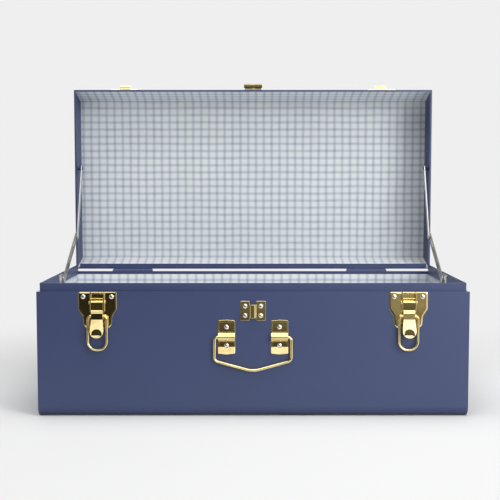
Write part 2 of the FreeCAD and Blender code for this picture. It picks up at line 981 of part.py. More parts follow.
def loop():
    """Wire loop with its two ends bent into the lever's flanges."""
    wire_half = loop_outer_width / 2 - loop_wire_radius
    end_x = lever_width / 2 - lever_flange_thickness - loop_end_depth
    top = down(loop_pivot_drop)
    foot = down(loop_bottom_drop) + loop_wire_radius
    points = [
        (end_x, top, 0),
        (wire_half, top, loop_top_bend_radius),
        (wire_half, foot, loop_foot_bend_radius),
        (-wire_half, foot, loop_foot_bend_radius),
        (-wire_half, top, loop_top_bend_radius),
        (-end_x, top, 0),
    ]
    return rod(points, along_y(out(loop_pivot_stand)), loop_wire_radius)


def catch_plate():
    """Plate on the lid's front wall, with the hook that the loop is drawn over."""
    low = shoulder + catch_plate_bottom_gap
    outline = rounded_box_points(
        -catch_plate_width / 2,
        catch_plate_width / 2,
        low,
        low + catch_plate_height,
        catch_plate_corner_radius,
        catch_plate_corner_radius,
    )
    plate = stamped_plate(outline)
    loop_reach = loop_bottom_drop - 2 * loop_wire_radius - loop_pivot_drop
    shelf_top = down(loop_pivot_drop) + loop_reach - face_clearance
    shelf_low = shelf_top - catch_hook_thickness
    outer_bend = catch_hook_bend_radius + catch_hook_thickness
    hook_points = [
        (out(0), shelf_low, 0),
        (out(catch_hook_reach), shelf_low, outer_bend),
        (out(catch_hook_reach), shelf_top + catch_hook_lip_height, 0),
        (out(catch_hook_reach - catch_hook_thickness), shelf_top + catch_hook_lip_height, 0),
        (out(catch_hook_reach - catch_hook_thickness), shelf_top, catch_hook_bend_radius),
        (out(0), shelf_top, 0),
    ]
    hook = prism_x(hook_points, -catch_hook_width / 2, catch_hook_width / 2)
    plate = plate.fuse(hook).removeSplitter()
    for side in (-catch_rivet_spacing / 2, catch_rivet_spacing / 2):
        place = Vector(side, front_face, shoulder + catch_rivet_rise)
        plate = drill(plate, place, Y_AXIS * -1, plate_thickness)
    return plate


def moved_x(shape, distance):
    placed = shape.copy()
    placed.translate(Vector(distance, 0, 0))
    return placed


# Drop handle

def handle_bracket():
    """Strap with a roll for the bail, two sunk panels and a flared foot."""
    half = bracket_width / 2
    outline = mirrored(
        [
            (0, down(bracket_top_drop - bracket_edge_bow), 0),
            (half, down(bracket_top_drop), bracket_corner_radius),
            (half, down(bracket_foot_drop), bracket_corner_radius),
            (0, down(bracket_foot_drop + bracket_edge_bow), 0),
        ]
    )
    outline = [point for index, point in enumerate(outline) if index not in (4, 7)]
    roll_top = bail_axis_drop - bracket_roll_foot_height / 2
    roll_foot = bail_axis_drop + bracket_roll_foot_height / 2
    side_points = [
        (out(0), down(bracket_top_drop - 2 * bracket_edge_bow), 0),
        (out(plate_thickness), down(bracket_top_drop - 2 * bracket_edge_bow), 0),
        (out(plate_thickness), down(roll_top), plate_thickness),
        (out(bail_axis_stand + bracket_roll_radius), down(bail_axis_drop), bracket_roll_radius),
        (out(plate_thickness), down(roll_foot), plate_thickness),
        (out(plate_thickness), down(bracket_flare_drop), 0),
        (out(bracket_flare_stand), down(bracket_foot_drop + 2 * bracket_edge_bow), 0),
        (out(0), down(bracket_foot_drop + 2 * bracket_edge_bow), 0),
    ]
    side_view = prism_x(side_points, -half, half)
    roll = cylinder_x(-half, half, out(bail_axis_stand), down(bail_axis_drop), bracket_roll_radius)
    roll = roll.cut(box(-half, half, out(0), rear_face, down(roll_foot), down(roll_top)))
    front_view = prism_y(outline, out(0), out(2 * (bail_axis_stand + bracket_roll_radius)))
    bracket = side_view.fuse(roll).common(front_view).removeSplitter()
    panel_floor = plate_thickness - bracket_panel_depth
    sunk = []
    for panel_top, panel_foot in (
        (bracket_panel_top_drop, bracket_panel_foot_drop),
        (bracket_low_panel_top_drop, bracket_flare_drop),
    ):
        panel = box(
            -half + bracket_panel_border,
            half - bracket_panel_border,
            out(panel_floor),
            out(plate_thickness + cut_overrun),
            down(panel_top),
            down(panel_foot),
        )
        sunk.append(panel)
    head_seat = Part.makeCylinder(
        rivet_head_radius + running_clearance,
        cut_overrun,
        Vector(0, out(panel_floor), down(bracket_rivet_lower_drop)),
        Y_AXIS * -1,
    )
    bore = cylinder_x(
        -half,
        half,
        out(bail_axis_stand),
        down(bail_axis_drop),
        bail_wire_radius + running_clearance,
    )
    bracket = bracket.cut(sunk + [head_seat, bore])
    for drop in (bracket_rivet_upper_drop, bracket_rivet_lower_drop):
        place = Vector(0, front_face, down(drop))
        bracket = drill(bracket, place, Y_AXIS * -1, plate_thickness)
    return bracket


def handle_rivets():
    """Bracket rivets, which stand in the sunk panels."""
    lift = plate_thickness - bracket_panel_depth
    rivets = []
    for place in handle_rivet_points():
        head_place = place + Y_AXIS * -lift
        rivets.append(stand(plate_rivet(lift + sheet_thickness), head_place, Y_AXIS * -1))
    return group(rivets)


def handle_bail():
    """Wire handle with its ends in the brackets' rolls."""
    wire_half = bail_outer_width / 2 - bail_wire_radius
    end_x = bracket_spacing / 2 + bracket_width / 2 - bail_end_depth
    axis = down(bail_axis_drop)
    side = down(bail_side_drop)
    middle = down(bail_middle_drop) + bail_wire_radius
    points = [
        (end_x, axis, 0),
        (wire_half, axis, bail_top_bend_radius),
        (wire_half, side, bail_side_bend_radius),
        (0, middle, bail_middle_bend_radius),
        (-wire_half, side, bail_side_bend_radius),
        (-wire_half, axis, bail_top_bend_radius),
        (-end_x, axis, 0),
    ]
    return rod(points, along_y(out(bail_axis_stand)), bail_wire_radius)


# Staple and hasp

def staple_plate():
    """Notched plate with a hollow ridge that a padlock's shackle goes behind."""
    top = down(staple_top_drop)
    foot = top - staple_height
    plate = prism_y(
        rounded_box_points(
            -staple_width / 2,
            staple_width / 2,
            foot,
            top,
            staple_corner_radius,
            staple_corner_radius,
        ),
        out(0),
        out(plate_thickness),
    )
    half_notch = staple_notch_width / 2
    for low, high in ((top - staple_notch_depth, top), (foot, foot + staple_notch_depth)):
        plate = plate.cut(box(-half_notch, half_notch, out(0), out(plate_thickness), low, high))
    ridge_low = foot + staple_notch_depth
    ridge_high = top - staple_notch_depth
    half_ridge = staple_ridge_outer_width / 2
    half_eye = half_ridge - staple_ridge_thickness
    crown = staple_ridge_height
    ridge_outline = [
        (-half_ridge, out(0), 0),
        (-half_ridge, out(crown), staple_ridge_crown_radius),
        (half_ridge, out(crown), staple_ridge_crown_radius),
        (half_ridge, out(0), 0),
    ]
    eye_radius = staple_ridge_crown_radius - staple_ridge_thickness
    eye_outline = [
        (-half_eye, out(0), 0),
        (-half_eye, out(crown - staple_ridge_thickness), eye_radius),
        (half_eye, out(crown - staple_ridge_thickness), eye_radius),
        (half_eye, out(0), 0),
    ]
    place = lambda u, v: Vector(u, v, ridge_low)
    rise = Z_AXIS * (ridge_high - ridge_low)
    plate = plate.fuse(prism(ridge_outline, place, rise)).cut(prism(eye_outline, place, rise))
    for place_on_plate in staple_rivet_points():
        plate = drill(plate, place_on_plate, Y_AXIS * -1, plate_thickness)
    return plate


def hasp_knuckle_edges():
    half = hasp_plate_width / 2
    return half, hasp_middle_knuckle_width / 2


def hasp_axis():
    return out(hasp_axis_stand), shoulder + hasp_axis_rise


def hasp_plate():
    """Plate on the lid with the hasp's middle knuckle, its near edge turned up behind the barrels."""
    y_axis, z_axis = hasp_axis()
    low = z_axis + hasp_barrel_radius + side_clearance
    half, half_knuckle = hasp_knuckle_edges()
    plate = prism_y(
        rounded_box_points(-half, half, low, low + hasp_plate_height, 0, hasp_corner_radius),
        out(0),
        out(plate_thickness),
    )
    barrel = cylinder_x(-half_knuckle, half_knuckle, y_axis, z_axis, hasp_barrel_radius)
    web = box(-half_knuckle, half_knuckle, out(0), y_axis, z_axis - hasp_pin_radius, low)
    half_riser = hasp_riser_width / 2
    riser = box(-half_riser, half_riser, out(0), out(hasp_riser_height), low, low + plate_thickness)
    plate = plate.fuse([barrel, web, riser]).removeSplitter()
    bore = cylinder_x(-half, half, y_axis, z_axis, hasp_pin_radius + running_clearance)
    plate = plate.cut(bore)
    for place in hasp_rivet_points():
        plate = drill(plate, place, Y_AXIS * -1, plate_thickness)
    return swing_open(plate)


def hasp_pin():
    y_axis, z_axis = hasp_axis()
    half, half_knuckle = hasp_knuckle_edges()
    return swing_open(cylinder_x(-half, half, y_axis, z_axis, hasp_pin_radius))


def hasp_strap():
    """Slotted strap, drawn over the staple and then folded back up on the lid."""
    y_axis, z_axis = hasp_axis()
    half, half_knuckle = hasp_knuckle_edges()
    foot = down(hasp_strap_foot_drop)
    outline = rounded_box_points(-half, half, foot, z_axis, hasp_strap_corner_radius, 0)
    strap_in = out(hasp_strap_stand)
    strap_out = out(hasp_strap_stand + hasp_strap_thickness)
    strap = prism_y(outline, strap_in, strap_out)
    tab = box(
        -half_knuckle,
        half_knuckle,
        strap_in,
        out(hasp_strap_stand + hasp_strap_thickness + hasp_tab_reach),
        foot,
        foot + hasp_strap_thickness,
    )
    slot_half = hasp_slot_width / 2
    slot_foot = down(hasp_slot_foot_drop)
    slot_top = down(hasp_slot_top_drop)
    slot = prism_y(
        rounded_box_points(-slot_half, slot_half, slot_foot, slot_top, slot_half / 2, slot_half / 2),
        out(0),
        out(hasp_axis_stand * 2),
    )
    inner_end = half_knuckle + side_clearance / 2
    barrels = [
        cylinder_x(-half, -inner_end, y_axis, z_axis, hasp_barrel_radius),
        cylinder_x(inner_end, half, y_axis, z_axis, hasp_barrel_radius),
    ]
    knuckle_room = box(
        -inner_end,
        inner_end,
        out(0),
        out(hasp_axis_stand * 2),
        z_axis - hasp_barrel_radius - side_clearance,
        z_axis + hasp_barrel_radius,
    )
    strap = strap.fuse([tab]).cut([slot, knuckle_room]).fuse(barrels).removeSplitter()
    bore = cylinder_x(-half, half, y_axis, z_axis, hasp_pin_radius + running_clearance)
    strap = strap.cut(bore)
    strap.rotate(Vector(0, y_axis, z_axis), X_AXIS, -180)
    return swing_open(strap)


# Lid stays, right-hand side; the left-hand ones are mirrored

def from_hinge(back, rise):
    """(y, z) of a point given from the lid's hinge axis."""
    return hinge_axis_y + back, shoulder + rise


def stay_lower_faces():
    outer = neck_inner_face - stay_bracket_thickness - side_clearance
    return outer - stay_lower_thickness, outer


def stay_upper_faces():
    outer = stay_lower_faces()[0] - side_clearance
    return outer - stay_upper_thickness, outer


def turned(point, centre, angle):
    """A (y, z) point turned about a centre by an angle in degrees."""
    cosine = math.cos(math.radians(angle))
    sine = math.sin(math.radians(angle))
    y = point[0] - centre[0]
    z = point[1] - centre[1]
    return centre[0] + y * cosine - z * sine, centre[1] + y * sine + z * cosine


def stay_points():
    """Lower pivot, elbow and upper pivot at rest."""
    lower = from_hinge(-stay_lower_pivot_forward, 0)
    elbow = from_hinge(-stay_elbow_forward, stay_elbow_rise)
    upper = from_hinge(stay_upper_pivot_back, stay_upper_pivot_rise)
    return lower, elbow, upper


def stay_closed_slot_distance():
    """Distance along the lower arm from its pivot to the elbow pin with the lid shut."""
    lower, elbow, upper = stay_points()
    pin = turned(elbow, upper, stay_upper_turn)
    pin = turned(pin, (hinge_axis_y, shoulder), -open_turn)
    angle = math.atan2(elbow[1] - lower[1], elbow[0] - lower[0]) + math.radians(stay_lower_turn)
    return (pin[0] - lower[0]) * math.cos(angle) + (pin[1] - lower[1]) * math.sin(angle)


def bar(start, end, width, overhang, x_from, x_to):
    """Flat bar with round ends whose centre line runs a little past both points."""
    length = math.hypot(end[0] - start[0], end[1] - start[1])
    half = width / 2
    points = rounded_box_points(-half, length + overhang, -half, half, 0, 0)
    blank = prism_x(points, x_from, x_to)
    corner_edges = [edge for edge in blank.Edges
                    if edge.Length < 2 * (x_to - x_from) and edge.BoundBox.XLength > 0]
    blank = blank.makeFillet(half - face_clearance, corner_edges)
    angle = math.degrees(math.atan2(end[1] - start[1], end[0] - start[0]))
    blank.rotate(Vector(0, 0, 0), X_AXIS, angle)
    blank.translate(Vector(0, start[0], start[1]))
    return blank


def stay_lower_arm():
    """Slotted arm from the base; the elbow pin slides in its slot."""
    lower, elbow, upper = stay_points()
    x_from, x_to = stay_lower_faces()
    open_distance = math.hypot(elbow[0] - lower[0], elbow[1] - lower[1])
    slot_half = stay_pin_radius + stay_slot_side_play
    pin_reach = stay_pin_radius + running_clearance
    slot_end = open_distance + pin_reach
    slot_start = stay_closed_slot_distance() - slot_half
    overhang = pin_reach + stay_lower_tip_margin
    arm = bar(lower, elbow, stay_lower_width, overhang, x_from, x_to)
    slot_points = rounded_box_points(slot_start, slot_end, -slot_half, slot_half, slot_half - running_clearance,
                                     slot_half - running_clearance)
    slot = prism_x(slot_points, x_from - cut_overrun, x_to + cut_overrun)
    slot.rotate(Vector(0, 0, 0), X_AXIS, math.degrees(math.atan2(elbow[1] - lower[1], elbow[0] - lower[0])))
    slot.translate(Vector(0, lower[0], lower[1]))
    bore = cylinder_x(
        x_from - cut_overrun,
        x_to + cut_overrun,
        lower[0],
        lower[1],
        stay_pin_radius + running_clearance,
    )
    return arm.cut([slot, bore])


def stay_upper_arm():
    """Plain arm from the lid to the elbow."""
    lower, elbow, upper = stay_points()
    x_from, x_to = stay_upper_faces()
    arm = bar(upper, elbow, stay_upper_width, stay_upper_width / 2, x_from, x_to)
    bores = []
    for y, z, radius in ((*upper, stay_pin_radius + running_clearance), (*elbow, stay_pin_radius)):
        bores.append(cylinder_x(x_from - cut_overrun, x_to + cut_overrun, y, z, radius))
    return arm.cut(bores)


def domed_pin(point, x_head, x_end, back_head_height):
    """Pin along X with a domed head inboard at x_head; x_end is its outboard end."""
    length = x_end - x_head
    pin = rivet(
        stay_pin_head_radius,
        stay_pin_head_height,
        stay_pin_radius,
        length,
        stay_pin_head_radius if back_head_height > 0 else stay_pin_radius,
        back_head_height if back_head_height > 0 else face_clearance,
    )
    return stand(pin, Vector(x_head, point[0], point[1]), X_AXIS * -1)


def stay_base_pin():
    """Pivot of the lower arm, set in the base bracket."""
    lower, elbow, upper = stay_points()
    x_head = stay_lower_faces()[0] - face_clearance
    x_end = neck_inner_face - face_clearance
    return domed_pin(lower, x_head, x_end, 0)


def stay_lid_pin():
    """Pivot of the upper arm, set in the lid bracket's boss."""
    lower, elbow, upper = stay_points()
    x_head = stay_upper_faces()[0] - face_clearance
    x_end = stay_lid_boss_inner_x() + stay_lid_boss_radius
    return domed_pin(upper, x_head, x_end, 0)


def stay_elbow_pin():
    """Pin fixed in the upper arm, with a wide head behind the lower arm's slot."""
    lower, elbow, upper = stay_points()
    x_head = stay_upper_faces()[0]
    x_end = stay_lower_faces()[1] + face_clearance
    return domed_pin(elbow, x_head, x_end, stay_elbow_back_head_height)


def stay_base_rivet_points():
    """Points on the neck's inner face, on the right-hand side."""
    lower, elbow, upper = stay_points()
    z = lower[1] + stay_bracket_rivet_rise
    runs = (stay_bracket_rivet_near, stay_bracket_rivet_far)
    return [Vector(neck_inner_face, lower[0] - run, z) for run in runs]


def stay_base_bracket():
    """Small plate on the neck's inner face that carries the lower arm."""
    lower, elbow, upper = stay_points()
    low = lower[1] - stay_bracket_base_drop
    outline = rounded_box_points(
        lower[0] - stay_bracket_front_run,
        lower[0] + stay_bracket_rear_run,
        low,
        low + stay_bracket_height,
        stay_bracket_corner_radius,
        stay_bracket_corner_radius,
    )
    plate = prism_x(outline, neck_inner_face - stay_bracket_thickness, neck_inner_face)
    for place in stay_base_rivet_points():
        plate = drill(plate, place, X_AXIS, sheet_thickness)
    pin_hole = cylinder_x(
        neck_inner_face - stay_bracket_thickness - cut_overrun,
        neck_inner_face + cut_overrun,
        lower[0],
        lower[1],
        stay_pin_radius,
    )
    return plate.cut(pin_hole)


def stay_base_rivets():
    lift = X_AXIS * -stay_bracket_thickness
    grip = stay_bracket_thickness + sheet_thickness
    return [stand(small_rivet(grip), place + lift, X_AXIS * -1) for place in stay_base_rivet_points()]


def shut_upper_pivot():
    """(y, z) of the upper pivot with the lid shut."""
    lower, elbow, upper = stay_points()
    return turned(upper, (hinge_axis_y, shoulder), -open_turn)


def stay_lid_boss_inner_x():
    return stay_upper_faces()[1] + face_clearance


def stay_lid_bracket(side):
    """Plate welded to the lid's end panel, with a boss that carries the upper arm."""
    y, z = shut_upper_pivot()
    half = stay_lid_plate_width / 2
    outline = rounded_box_points(
        y - half,
        y + half,
        z - stay_lid_plate_foot_gap,
        z + stay_lid_plate_head_rise,
        stay_bracket_corner_radius,
        stay_bracket_corner_radius,
    )
    plate_inner = inner_face - stay_bracket_thickness
    plate = prism_x(outline, plate_inner, inner_face)
    boss = cylinder_x(stay_lid_boss_inner_x(), plate_inner, y, z, stay_lid_boss_radius)
    bracket = plate.fuse(boss).removeSplitter()
    pin_hole = cylinder_x(
        stay_lid_boss_inner_x() - cut_overrun,
        stay_lid_boss_inner_x() + stay_lid_boss_radius + face_clearance,
        y,
        z,
        stay_pin_radius,
    )
    bracket = bracket.cut(pin_hole)
    if side < 0:
        bracket = mirror_x(bracket)
    return swing_open(bracket)


def both_sides(shapes):
    return group(shapes + [mirror_x(shape) for shape in shapes])


def all_parts():
    """Every node's name and shape."""
    parts = {
        "base_wrap": base_wrap(),
        "base_end_right": base_end(),
        "neck_frame": neck_frame(),
        "base_lining_wrap": base_lining_wrap(),
        "base_lining_end_right": base_lining_end(),
        "lid_wrap": lid_wrap(),
        "lid_end_right": lid_end(1),
        "lid_end_left": lid_end(-1),
        "lid_lining_panel": lid_lining_panel(),
        "lid_lining_front": lid_lining_front(),
        "lid_lining_rear": lid_lining_rear(),
        "hinge_base_rivets": rear_rivets(hinge_rivet_points(-hinge_rivet_drop)),
        "hinge_lid_rivets": swing_open(rear_rivets(hinge_rivet_points(hinge_rivet_drop))),
        "latch_rivets": front_rivets(latch_rivet_points()),
        "catch_rivets": swing_open(front_rivets(catch_rivet_points())),
        "handle_rivets": handle_rivets(),
        "handle_bail": handle_bail(),
        "staple_plate": staple_plate(),
        "staple_rivets": front_rivets(staple_rivet_points()),
        "hasp_plate": hasp_plate(),
        "hasp_pin": hasp_pin(),
        "hasp_strap": hasp_strap(),
        "hasp_rivets": swing_open(front_rivets(hasp_rivet_points())),
        "stay_base_rivets": both_sides(stay_base_rivets()),
    }
    parts["base_end_left"] = mirror_x(parts["base_end_right"])
    parts["base_lining_end_left"] = mirror_x(parts["base_lining_end_right"])
    for name, centre in (("left", hinge_centre_left), ("right", hinge_centre_right)):
        parts["hinge_base_leaf_" + name] = hinge_base_leaf(centre)
        parts["hinge_lid_leaf_" + name] = hinge_lid_leaf(centre)
        parts["hinge_pin_" + name] = hinge_pin(centre)
    for name, side in (("left", -1), ("right", 1)):
        centre = side * latch_centre
        parts["latch_plate_" + name] = moved_x(latch_plate(), centre)
        parts["latch_pin_" + name] = moved_x(latch_pin(), centre)
        parts["latch_lever_" + name] = moved_x(lever(), centre)
        parts["latch_loop_" + name] = moved_x(loop(), centre)
        parts["catch_plate_" + name] = swing_open(moved_x(catch_plate(), centre))
        parts["handle_bracket_" + name] = moved_x(handle_bracket(), side * bracket_spacing / 2)
        parts["stay_lid_bracket_" + name] = stay_lid_bracket(side)
    right_hand = {
        "stay_base_bracket": stay_base_bracket(),
        "stay_base_pin": stay_base_pin(),
        "stay_lower_arm": stay_lower_arm(),
        "stay_upper_arm": stay_upper_arm(),
        "stay_elbow_pin": stay_elbow_pin(),
        "stay_lid_pin": stay_lid_pin(),
    }
    for name, shape in right_hand.items():
        parts[name + "_right"] = shape
        parts[name + "_left"] = mirror_x(shape)
    return parts


def main():
    os.makedirs("parts", exist_ok=True)
    for name, shape in sorted(all_parts().items()):
        shape.exportStep("parts/" + name + ".step")
        print(name, "solids", len(shape.Solids), "volume", round(shape.Volume, 1), "valid", shape.isValid())


main()
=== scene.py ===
import json
import math

import bmesh
import bpy
from bpy.props import FloatProperty, FloatVectorProperty, IntProperty, PointerProperty
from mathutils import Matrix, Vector


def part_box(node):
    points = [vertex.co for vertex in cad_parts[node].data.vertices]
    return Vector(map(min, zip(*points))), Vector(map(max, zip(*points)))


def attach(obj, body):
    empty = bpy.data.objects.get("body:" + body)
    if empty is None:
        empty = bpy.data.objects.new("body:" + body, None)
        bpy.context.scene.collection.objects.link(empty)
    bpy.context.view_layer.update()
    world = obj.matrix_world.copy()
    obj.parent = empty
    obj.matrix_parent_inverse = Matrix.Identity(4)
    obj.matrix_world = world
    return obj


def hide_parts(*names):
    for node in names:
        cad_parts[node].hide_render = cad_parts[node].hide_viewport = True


bl_info = {
    "name": "Steel Trunk",
    "version": (1, 0, 0),
    "blender": (4, 5, 0),
    "location": "View3D > Sidebar > Trunk",
    "description": "Dresses a lined steel trunk with its latches, hasp, handle and stays",
    "category": "Object",
}

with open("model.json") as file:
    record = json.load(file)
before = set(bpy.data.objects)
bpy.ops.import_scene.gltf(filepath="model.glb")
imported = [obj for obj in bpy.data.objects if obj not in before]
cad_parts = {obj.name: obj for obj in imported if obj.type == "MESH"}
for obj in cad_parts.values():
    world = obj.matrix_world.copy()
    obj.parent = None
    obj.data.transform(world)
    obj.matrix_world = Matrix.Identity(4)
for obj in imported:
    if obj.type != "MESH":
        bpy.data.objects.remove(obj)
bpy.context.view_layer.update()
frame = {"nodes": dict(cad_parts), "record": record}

MM = 0.001

# Levels of the shell, read from the frame; a mounting plane is an (axis, level) pair
BASE_LOW, BASE_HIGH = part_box("base_wrap")
SHOULDER_Z = BASE_HIGH.z
FRONT_FACE = (1, BASE_LOW.y)

SIDES = ("left", "right")

# Joining and smoothing of meshes; the two smoothing angles are in degrees
JOIN_DISTANCE = 1e-6
JOIN_ANGLE = math.radians(0.4)
FOLD_ANGLE = 35.0
ROUND_ANGLE = 50.0
CREASE_GAP = 0.12 * MM
PLANE_GAP = 0.05 * MM
RIVET_HOLE_REACH = 1.45 * MM

# Easing of edges: an edge takes its share of the room up to the next edge
CORNER_ANGLE = math.radians(38)
FLAT_ANGLE = math.radians(2)
ROOM_SHARE = 0.45
MOUNTED_ROOM_SHARE = 0.85
ROOM_LIMIT = 1.0
NARROW_ROOM = 0.1 * MM
NARROW_EASE = 0.16 * MM
BRACKET_EDGE = 0.7 * MM
SMALL_EDGE = 0.3 * MM
STAY_EDGE = 0.25 * MM

# Places of bends below the shoulder of the base
LEVER_BENDS = (22.8 * MM, 27.0 * MM, 34.6 * MM, 46.0 * MM)
BRACKET_BENDS = (53.0 * MM, 62.8 * MM, 70.6 * MM)
BAIL_SIDE_DROP = 88.2 * MM
BAIL_FOOT_DROP = 103.6 * MM

# The lining's boards and where their check starts
CHECK_SHIFT = 4.7 * MM
CHECK_LEVEL = 302.5 * MM
CHECK_DRIFT = 0.5 * MM
BOARD_THICKNESS = 1.0 * MM
BOARD_BEND = 9.4 * MM
BEND_STEPS = 8
LEAN_RISE = 10.4 * MM
LEAN_RIM = 10.3 * MM

# Rivet heads and bent wires
HEAD_SIDES = 32
HEAD_RINGS = 12
HEAD_JOIN = 2e-5
BEND_FACES = 14

# The part of a noise's range that holds most of its values
GRAIN_SPAN = (0.3, 0.7)

# The photo's width, and how far its centre lies beside the camera's axis, in pixels
IMAGE_WIDTH = 500
PICTURE_SHIFT = -3.03

# Level of the floor's own grey, and where it melts into the backdrop
FLOOR_GREY = 0.64
FLOOR_FADE = (0.32, 0.85)

# Name, place, target, width, height, watts and the rays that don't meet the lamp
LAMPS = (
    ("key", (1.75, -1.6, 1.2), (0.0, 0.0, 0.2), 1.0, 1.0, 41.0, "glossy"),
    ("side_softbox", (1.25, -2.0, 0.85), (0.0, 0.0, 0.15), 1.1, 1.1, 22.0, "diffuse"),
    ("front_softbox", (-0.1, -1.8, 0.77), (0.0, 0.0, 0.2), 1.5, 0.58, 3.1, None),
    ("overhead", (0.0, -0.5, 2.3), (0.0, 0.05, 0.2), 2.2, 1.6, 37.0, None),
    ("overhead_front", (0.0, -1.3, 2.1), (0.0, 0.05, 0.2), 2.2, 0.8, 8.0, "glossy"),
    ("overhead_back", (0.0, 0.3, 2.4), (0.0, 0.05, 0.2), 2.2, 1.2, 21.0, "glossy"),
    ("front_low", (0.6, -2.6, 0.35), (0.0, 0.0, 0.2), 2.5, 0.6, 6.5, None),
    ("rear_softbox", (-0.3, 1.8, 0.6), (0.0, 0.0, 0.25), 2.2, 0.8, 12.0, None),
)

BODY_OF = {
    node: body
    for body, members in frame["record"]["behaviour"]["bodies"].items()
    for node in members
}


class TrunkShellSettings(bpy.types.PropertyGroup):
    """Sizes and finish of the enamelled steel shell."""

    enamel_colour: FloatVectorProperty(
        name="Enamel Colour",
        description="Colour of the satin enamel",
        subtype="COLOR",
        size=3,
        min=0.0,
        max=1.0,
        default=(0.0335, 0.0492, 0.1275),
    )
    enamel_roughness: FloatProperty(
        name="Enamel Roughness",
        description="How dull the enamel is",
        min=0.0,
        max=1.0,
        default=0.42,
    )


class TrunkLiningSettings(bpy.types.PropertyGroup):
    """Print of the lining paper."""

    ground_colour: FloatVectorProperty(
        name="Ground Colour",
        description="Pale ground of the printed paper",
        subtype="COLOR",
        size=3,
        min=0.0,
        max=1.0,
        default=(0.65, 0.67, 0.68),
    )
    line_colour: FloatVectorProperty(
        name="Line Colour",
        description="Colour of the check's lines",
        subtype="COLOR",
        size=3,
        min=0.0,
        max=1.0,
        default=(0.645, 0.685, 0.755),
    )
    lid_pitch_across: FloatProperty(
        name="Lid Check Width",
        description="Distance between upright lines in the lid",
        unit="LENGTH",
        default=12.51 * MM,
    )
    lid_pitch_along: FloatProperty(
        name="Lid Check Height",
        description="Distance between level lines in the lid",
        unit="LENGTH",
        default=11.31 * MM,
    )
    base_pitch_scale: FloatProperty(
        name="Base Check Scale",
        description="Size of the base lining's check beside the lid's",
        default=1.06,
    )
    line_width: FloatProperty(
        name="Line Width",
        description="Width of a printed line",
        unit="LENGTH",
        default=5.9 * MM,
    )


class TrunkFittingSettings(bpy.types.PropertyGroup):
    """Sizes and finish of the brass fittings."""

    brass_colour: FloatVectorProperty(
        name="Brass Colour",
        description="Colour of the polished brass",
        subtype="COLOR",
        size=3,
        min=0.0,
        max=1.0,
        default=(0.90, 0.76, 0.39),
    )
    plate_edge: FloatProperty(
        name="Plate Edge Rounding",
        description="Rounding of stamped edges",
        unit="LENGTH",
        default=0.5 * MM,
    )
    rivet_radius: FloatProperty(
        name="Rivet Head Radius",
        description="Radius of the domed heads",
        unit="LENGTH",
        default=3.0 * MM,
    )
    rivet_height: FloatProperty(
        name="Rivet Head Height",
        description="Height of the domed heads",
        unit="LENGTH",
        default=1.4 * MM,
    )
    loop_wire: FloatProperty(
        name="Loop Wire Radius",
        description="Radius of the latch loop's wire",
        unit="LENGTH",
        default=1.65 * MM,
    )
    bail_wire: FloatProperty(
        name="Bail Wire Radius",
        description="Radius of the handle's wire",
        unit="LENGTH",
        default=1.85 * MM,
    )
    wire_sides: IntProperty(
        name="Wire Sides",
        description="Faces around a wire",
        default=24,
    )


class TrunkStageSettings(bpy.types.PropertyGroup):
    """Camera, floor and light."""

    lens: FloatProperty(name="Lens", description="Focal length", unit="CAMERA", default=69.53)
    camera_place: FloatVectorProperty(
        name="Camera Place",
        description="Where the camera stands",
        subtype="TRANSLATION",
        size=3,
        default=(0.0, -1.35455, 0.3029),
    )
    camera_tilt: FloatProperty(
        name="Camera Tilt",
        description="How far the camera looks down",
        subtype="ANGLE",
        default=0.07332,
    )
    fill_level: FloatProperty(
        name="Fill Level",
        description="Level of the even light from all around",
        default=0.1,
    )
    backdrop_grey: FloatProperty(
        name="Backdrop Grey",
        description="Level of the pale floor and backdrop",
        default=0.863,
    )


def settings(group):
    return getattr(bpy.context.scene, "trunk_" + group)


# Node building

def feed(tree, socket, value):
    """Gives a socket a value, or links another node's output to it."""
    if isinstance(value, bpy.types.NodeSocket):
        tree.links.new(value, socket)
    else:
        socket.default_value = value


def add_node(tree, kind, inputs=None, **traits):
    """A new node with its traits set and its inputs fed."""
    node = tree.nodes.new(kind)
    for trait, value in traits.items():
        setattr(node, trait, value)
    for key, value in (inputs or {}).items():
        feed(tree, node.inputs[key], value)
    return node


def new_tree(name, kind, inputs, outputs):
    """Node group with named sockets, and its input and output nodes."""
    tree = bpy.data.node_groups.new(name, kind)
    for in_out, sockets in (("INPUT", inputs), ("OUTPUT", outputs)):
        for label, socket_type, *default in sockets:
            socket = tree.interface.new_socket(label, in_out=in_out, socket_type=socket_type)
            if default:
                socket.default_value = default[0]
    return tree, tree.nodes.new("NodeGroupInput"), tree.nodes.new("NodeGroupOutput")


def math_node(tree, operation, *values):
    inputs = dict(enumerate(values))
    return add_node(tree, "ShaderNodeMath", inputs, operation=operation).outputs[0]


def map_range(tree, value, low, high, to_low=0.0, to_high=1.0, kind="SMOOTHSTEP"):
    labels = ("Value", "From Min", "From Max", "To Min", "To Max")
    inputs = dict(zip(labels, (value, low, high, to_low, to_high)))
    node = add_node(tree, "ShaderNodeMapRange", inputs, interpolation_type=kind)
    return node.outputs["Result"]


def mix_colour(tree, factor, first, second, blend="MIX"):
    """Mixes two colours, each (red, green, blue) or another node's output."""
    inputs = {0: factor}
    for index, colour in ((6, first), (7, second)):
        inputs[index] = (*colour, 1.0) if isinstance(colour, tuple) else colour
    node = add_node(tree, "ShaderNodeMix", inputs, data_type="RGBA", blend_type=blend)
    return node.outputs[2]


def noise(tree, vector, scale, detail=2.0):
    inputs = {"Vector": vector, "Scale": scale, "Detail": detail}
    return add_node(tree, "ShaderNodeTexNoise", inputs).outputs["Fac"]


def toned(colour, tone):
    return tuple(value * tone for value in colour)


